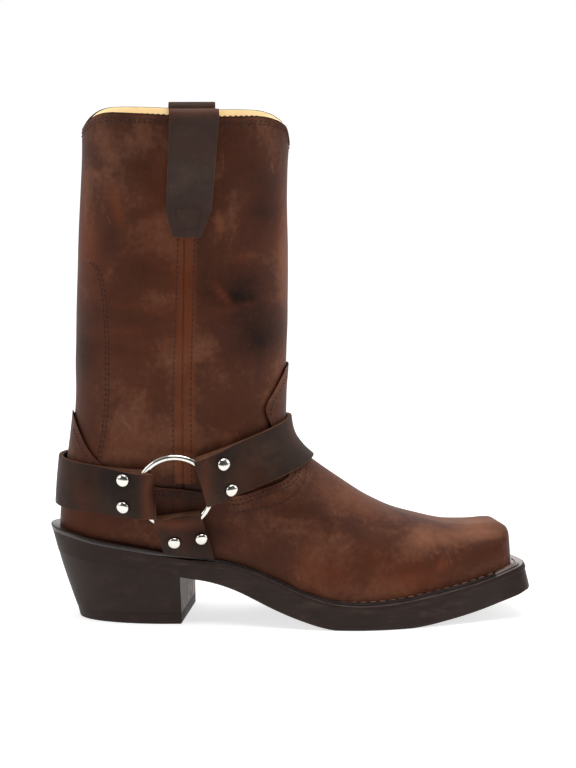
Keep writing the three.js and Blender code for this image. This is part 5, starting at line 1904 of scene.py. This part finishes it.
@dataclass
class Studio:
    """Camera, floor and lights.

    Attributes:
        camera_place: Place of the camera in working millimetres.
        pitch: Turn of the camera about its x in degrees.
        yaw: Turn of the camera about the upright in degrees.
        lens: Focal length in millimetres.
        room: Strength of the room's light.
        paper_glow: Light given back by the floor's paper.
        floor_fade: y between which the floor turns from dim to bright, in metres.
        dim: Tone and glow of the dim floor.
        bright: Tone and glow of the bright floor.
        room_stops: Places and levels of the room's light, from front to back.
        lamps: Name, place, size and power of each lamp.
    """

    camera_place: tuple[float, float, float] = (65.0, -1668.2, 408.4)
    pitch: float = 81.2
    yaw: float = -3.0
    lens: float = 123.75
    room: float = 1.0
    paper_glow: float = 0.7
    floor_fade: tuple[float, float] = (-0.9, -0.38)
    dim: tuple[float, float] = (0.3, 0.15)
    bright: tuple[float, float] = (0.6, 1.0)
    room_stops: tuple = ((0.0, 0.05), (0.25, 0.16), (0.46, 0.6), (0.6, 1.0))
    lamps: tuple = (
        ("top_light", (0.1, -0.35, 1.7), 1.2, 17),
        ("left_light", (-1.5, -0.6, 0.8), 0.9, 4),
        ("right_light", (1.5, -0.2, 0.8), 0.9, 5),
    )

    def camera(self) -> None:
        """Set the camera at the photograph's angle."""
        data = bpy.data.cameras.new("camera")
        data.lens = self.lens
        data.sensor_width = 36.0
        data.clip_end = 50.0
        eye = bpy.data.objects.new("camera", data)
        eye.location = place(self.camera_place).tolist()
        eye.rotation_euler = (math.radians(self.pitch), 0, math.radians(self.yaw))
        bpy.context.scene.collection.objects.link(eye)
        bpy.context.scene.camera = eye

    def area(self, name: str, at: tuple, size: float, power: float, target: tuple) -> None:
        """Soft lamp aimed at a point."""
        data = bpy.data.lights.new(name, "AREA")
        data.shape = "DISK"
        data.size = size
        data.energy = power
        lamp = bpy.data.objects.new(name, data)
        lamp.location = at
        aim = Vector(target) - Vector(at)
        lamp.rotation_euler = aim.to_track_quat("-Z", "Y").to_euler()
        bpy.context.scene.collection.objects.link(lamp)

    def surroundings(self) -> None:
        """Pale room: bright behind and above, darker behind the camera."""
        world = bpy.data.worlds.new("studio")
        world.use_nodes = True
        tree = world.node_tree
        where = tree.nodes.new("ShaderNodeTexCoord")
        parts = tree.nodes.new("ShaderNodeSeparateXYZ")
        ramp = tree.nodes.new("ShaderNodeValToRGB")
        stretch = tree.nodes.new("ShaderNodeMapRange")
        stretch.inputs["From Min"].default_value = -1.0
        tree.links.new(where.outputs["Generated"], parts.inputs[0])
        tree.links.new(parts.outputs["Y"], stretch.inputs["Value"])
        tree.links.new(stretch.outputs["Result"], ramp.inputs["Fac"])
        tree.links.new(ramp.outputs["Color"], tree.nodes["Background"].inputs[0])
        fill_ramp(ramp, [(at, (level,) * 3 + (1,)) for at, level in self.room_stops])
        tree.nodes["Background"].inputs[1].default_value = self.room
        bpy.context.scene.world = world

    def build(self) -> None:
        """Set floor, lamps and surroundings."""
        deselect()
        bpy.ops.mesh.primitive_plane_add(size=60.0)
        floor = bpy.context.active_object
        floor.name = "floor"
        g = Graph("floor_paper")
        parts = g.add("ShaderNodeSeparateXYZ", Vector=g.where).outputs["Y"]
        near = g.span(parts, *self.floor_fade)
        tone, glow = (g.blend(near, (dim,) * 3 + (1,), (bright,) * 3 + (1,))
                      for dim, bright in zip(self.dim, self.bright))
        floor.data.materials.append(g.set(
            Base_Color=tone, Roughness=1.0, Specular_IOR_Level=0.0,
            Emission_Strength=self.paper_glow, Emission_Color=glow))
        self.surroundings()
        bpy.context.scene.view_settings.view_transform = "Standard"
        for name, at, size, power in self.lamps:
            self.area(name, at, size, power, (0.0, 0.0, 0.14))


def main() -> None:
    """Build the boot and its surroundings in order."""
    logging.basicConfig(level=logging.INFO, format="%(name)s %(message)s")
    studio = Studio()
    studio.camera()
    finishes = Finishes()
    last = Last()
    upper = Upper(last, finishes)
    upper.build()
    upper.overlays()
    upper.stitch()
    Sole(last, finishes).build()
    harness = Harness(last, finishes)
    harness.rings()
    harness.straps()
    harness.rivets()
    PullStraps(last, finishes).build()
    insole = bpy.data.objects["insole"]
    for slot in insole.material_slots:
        slot.material = finishes.insole
    studio.build()


if __name__ == "__main__":
    main()
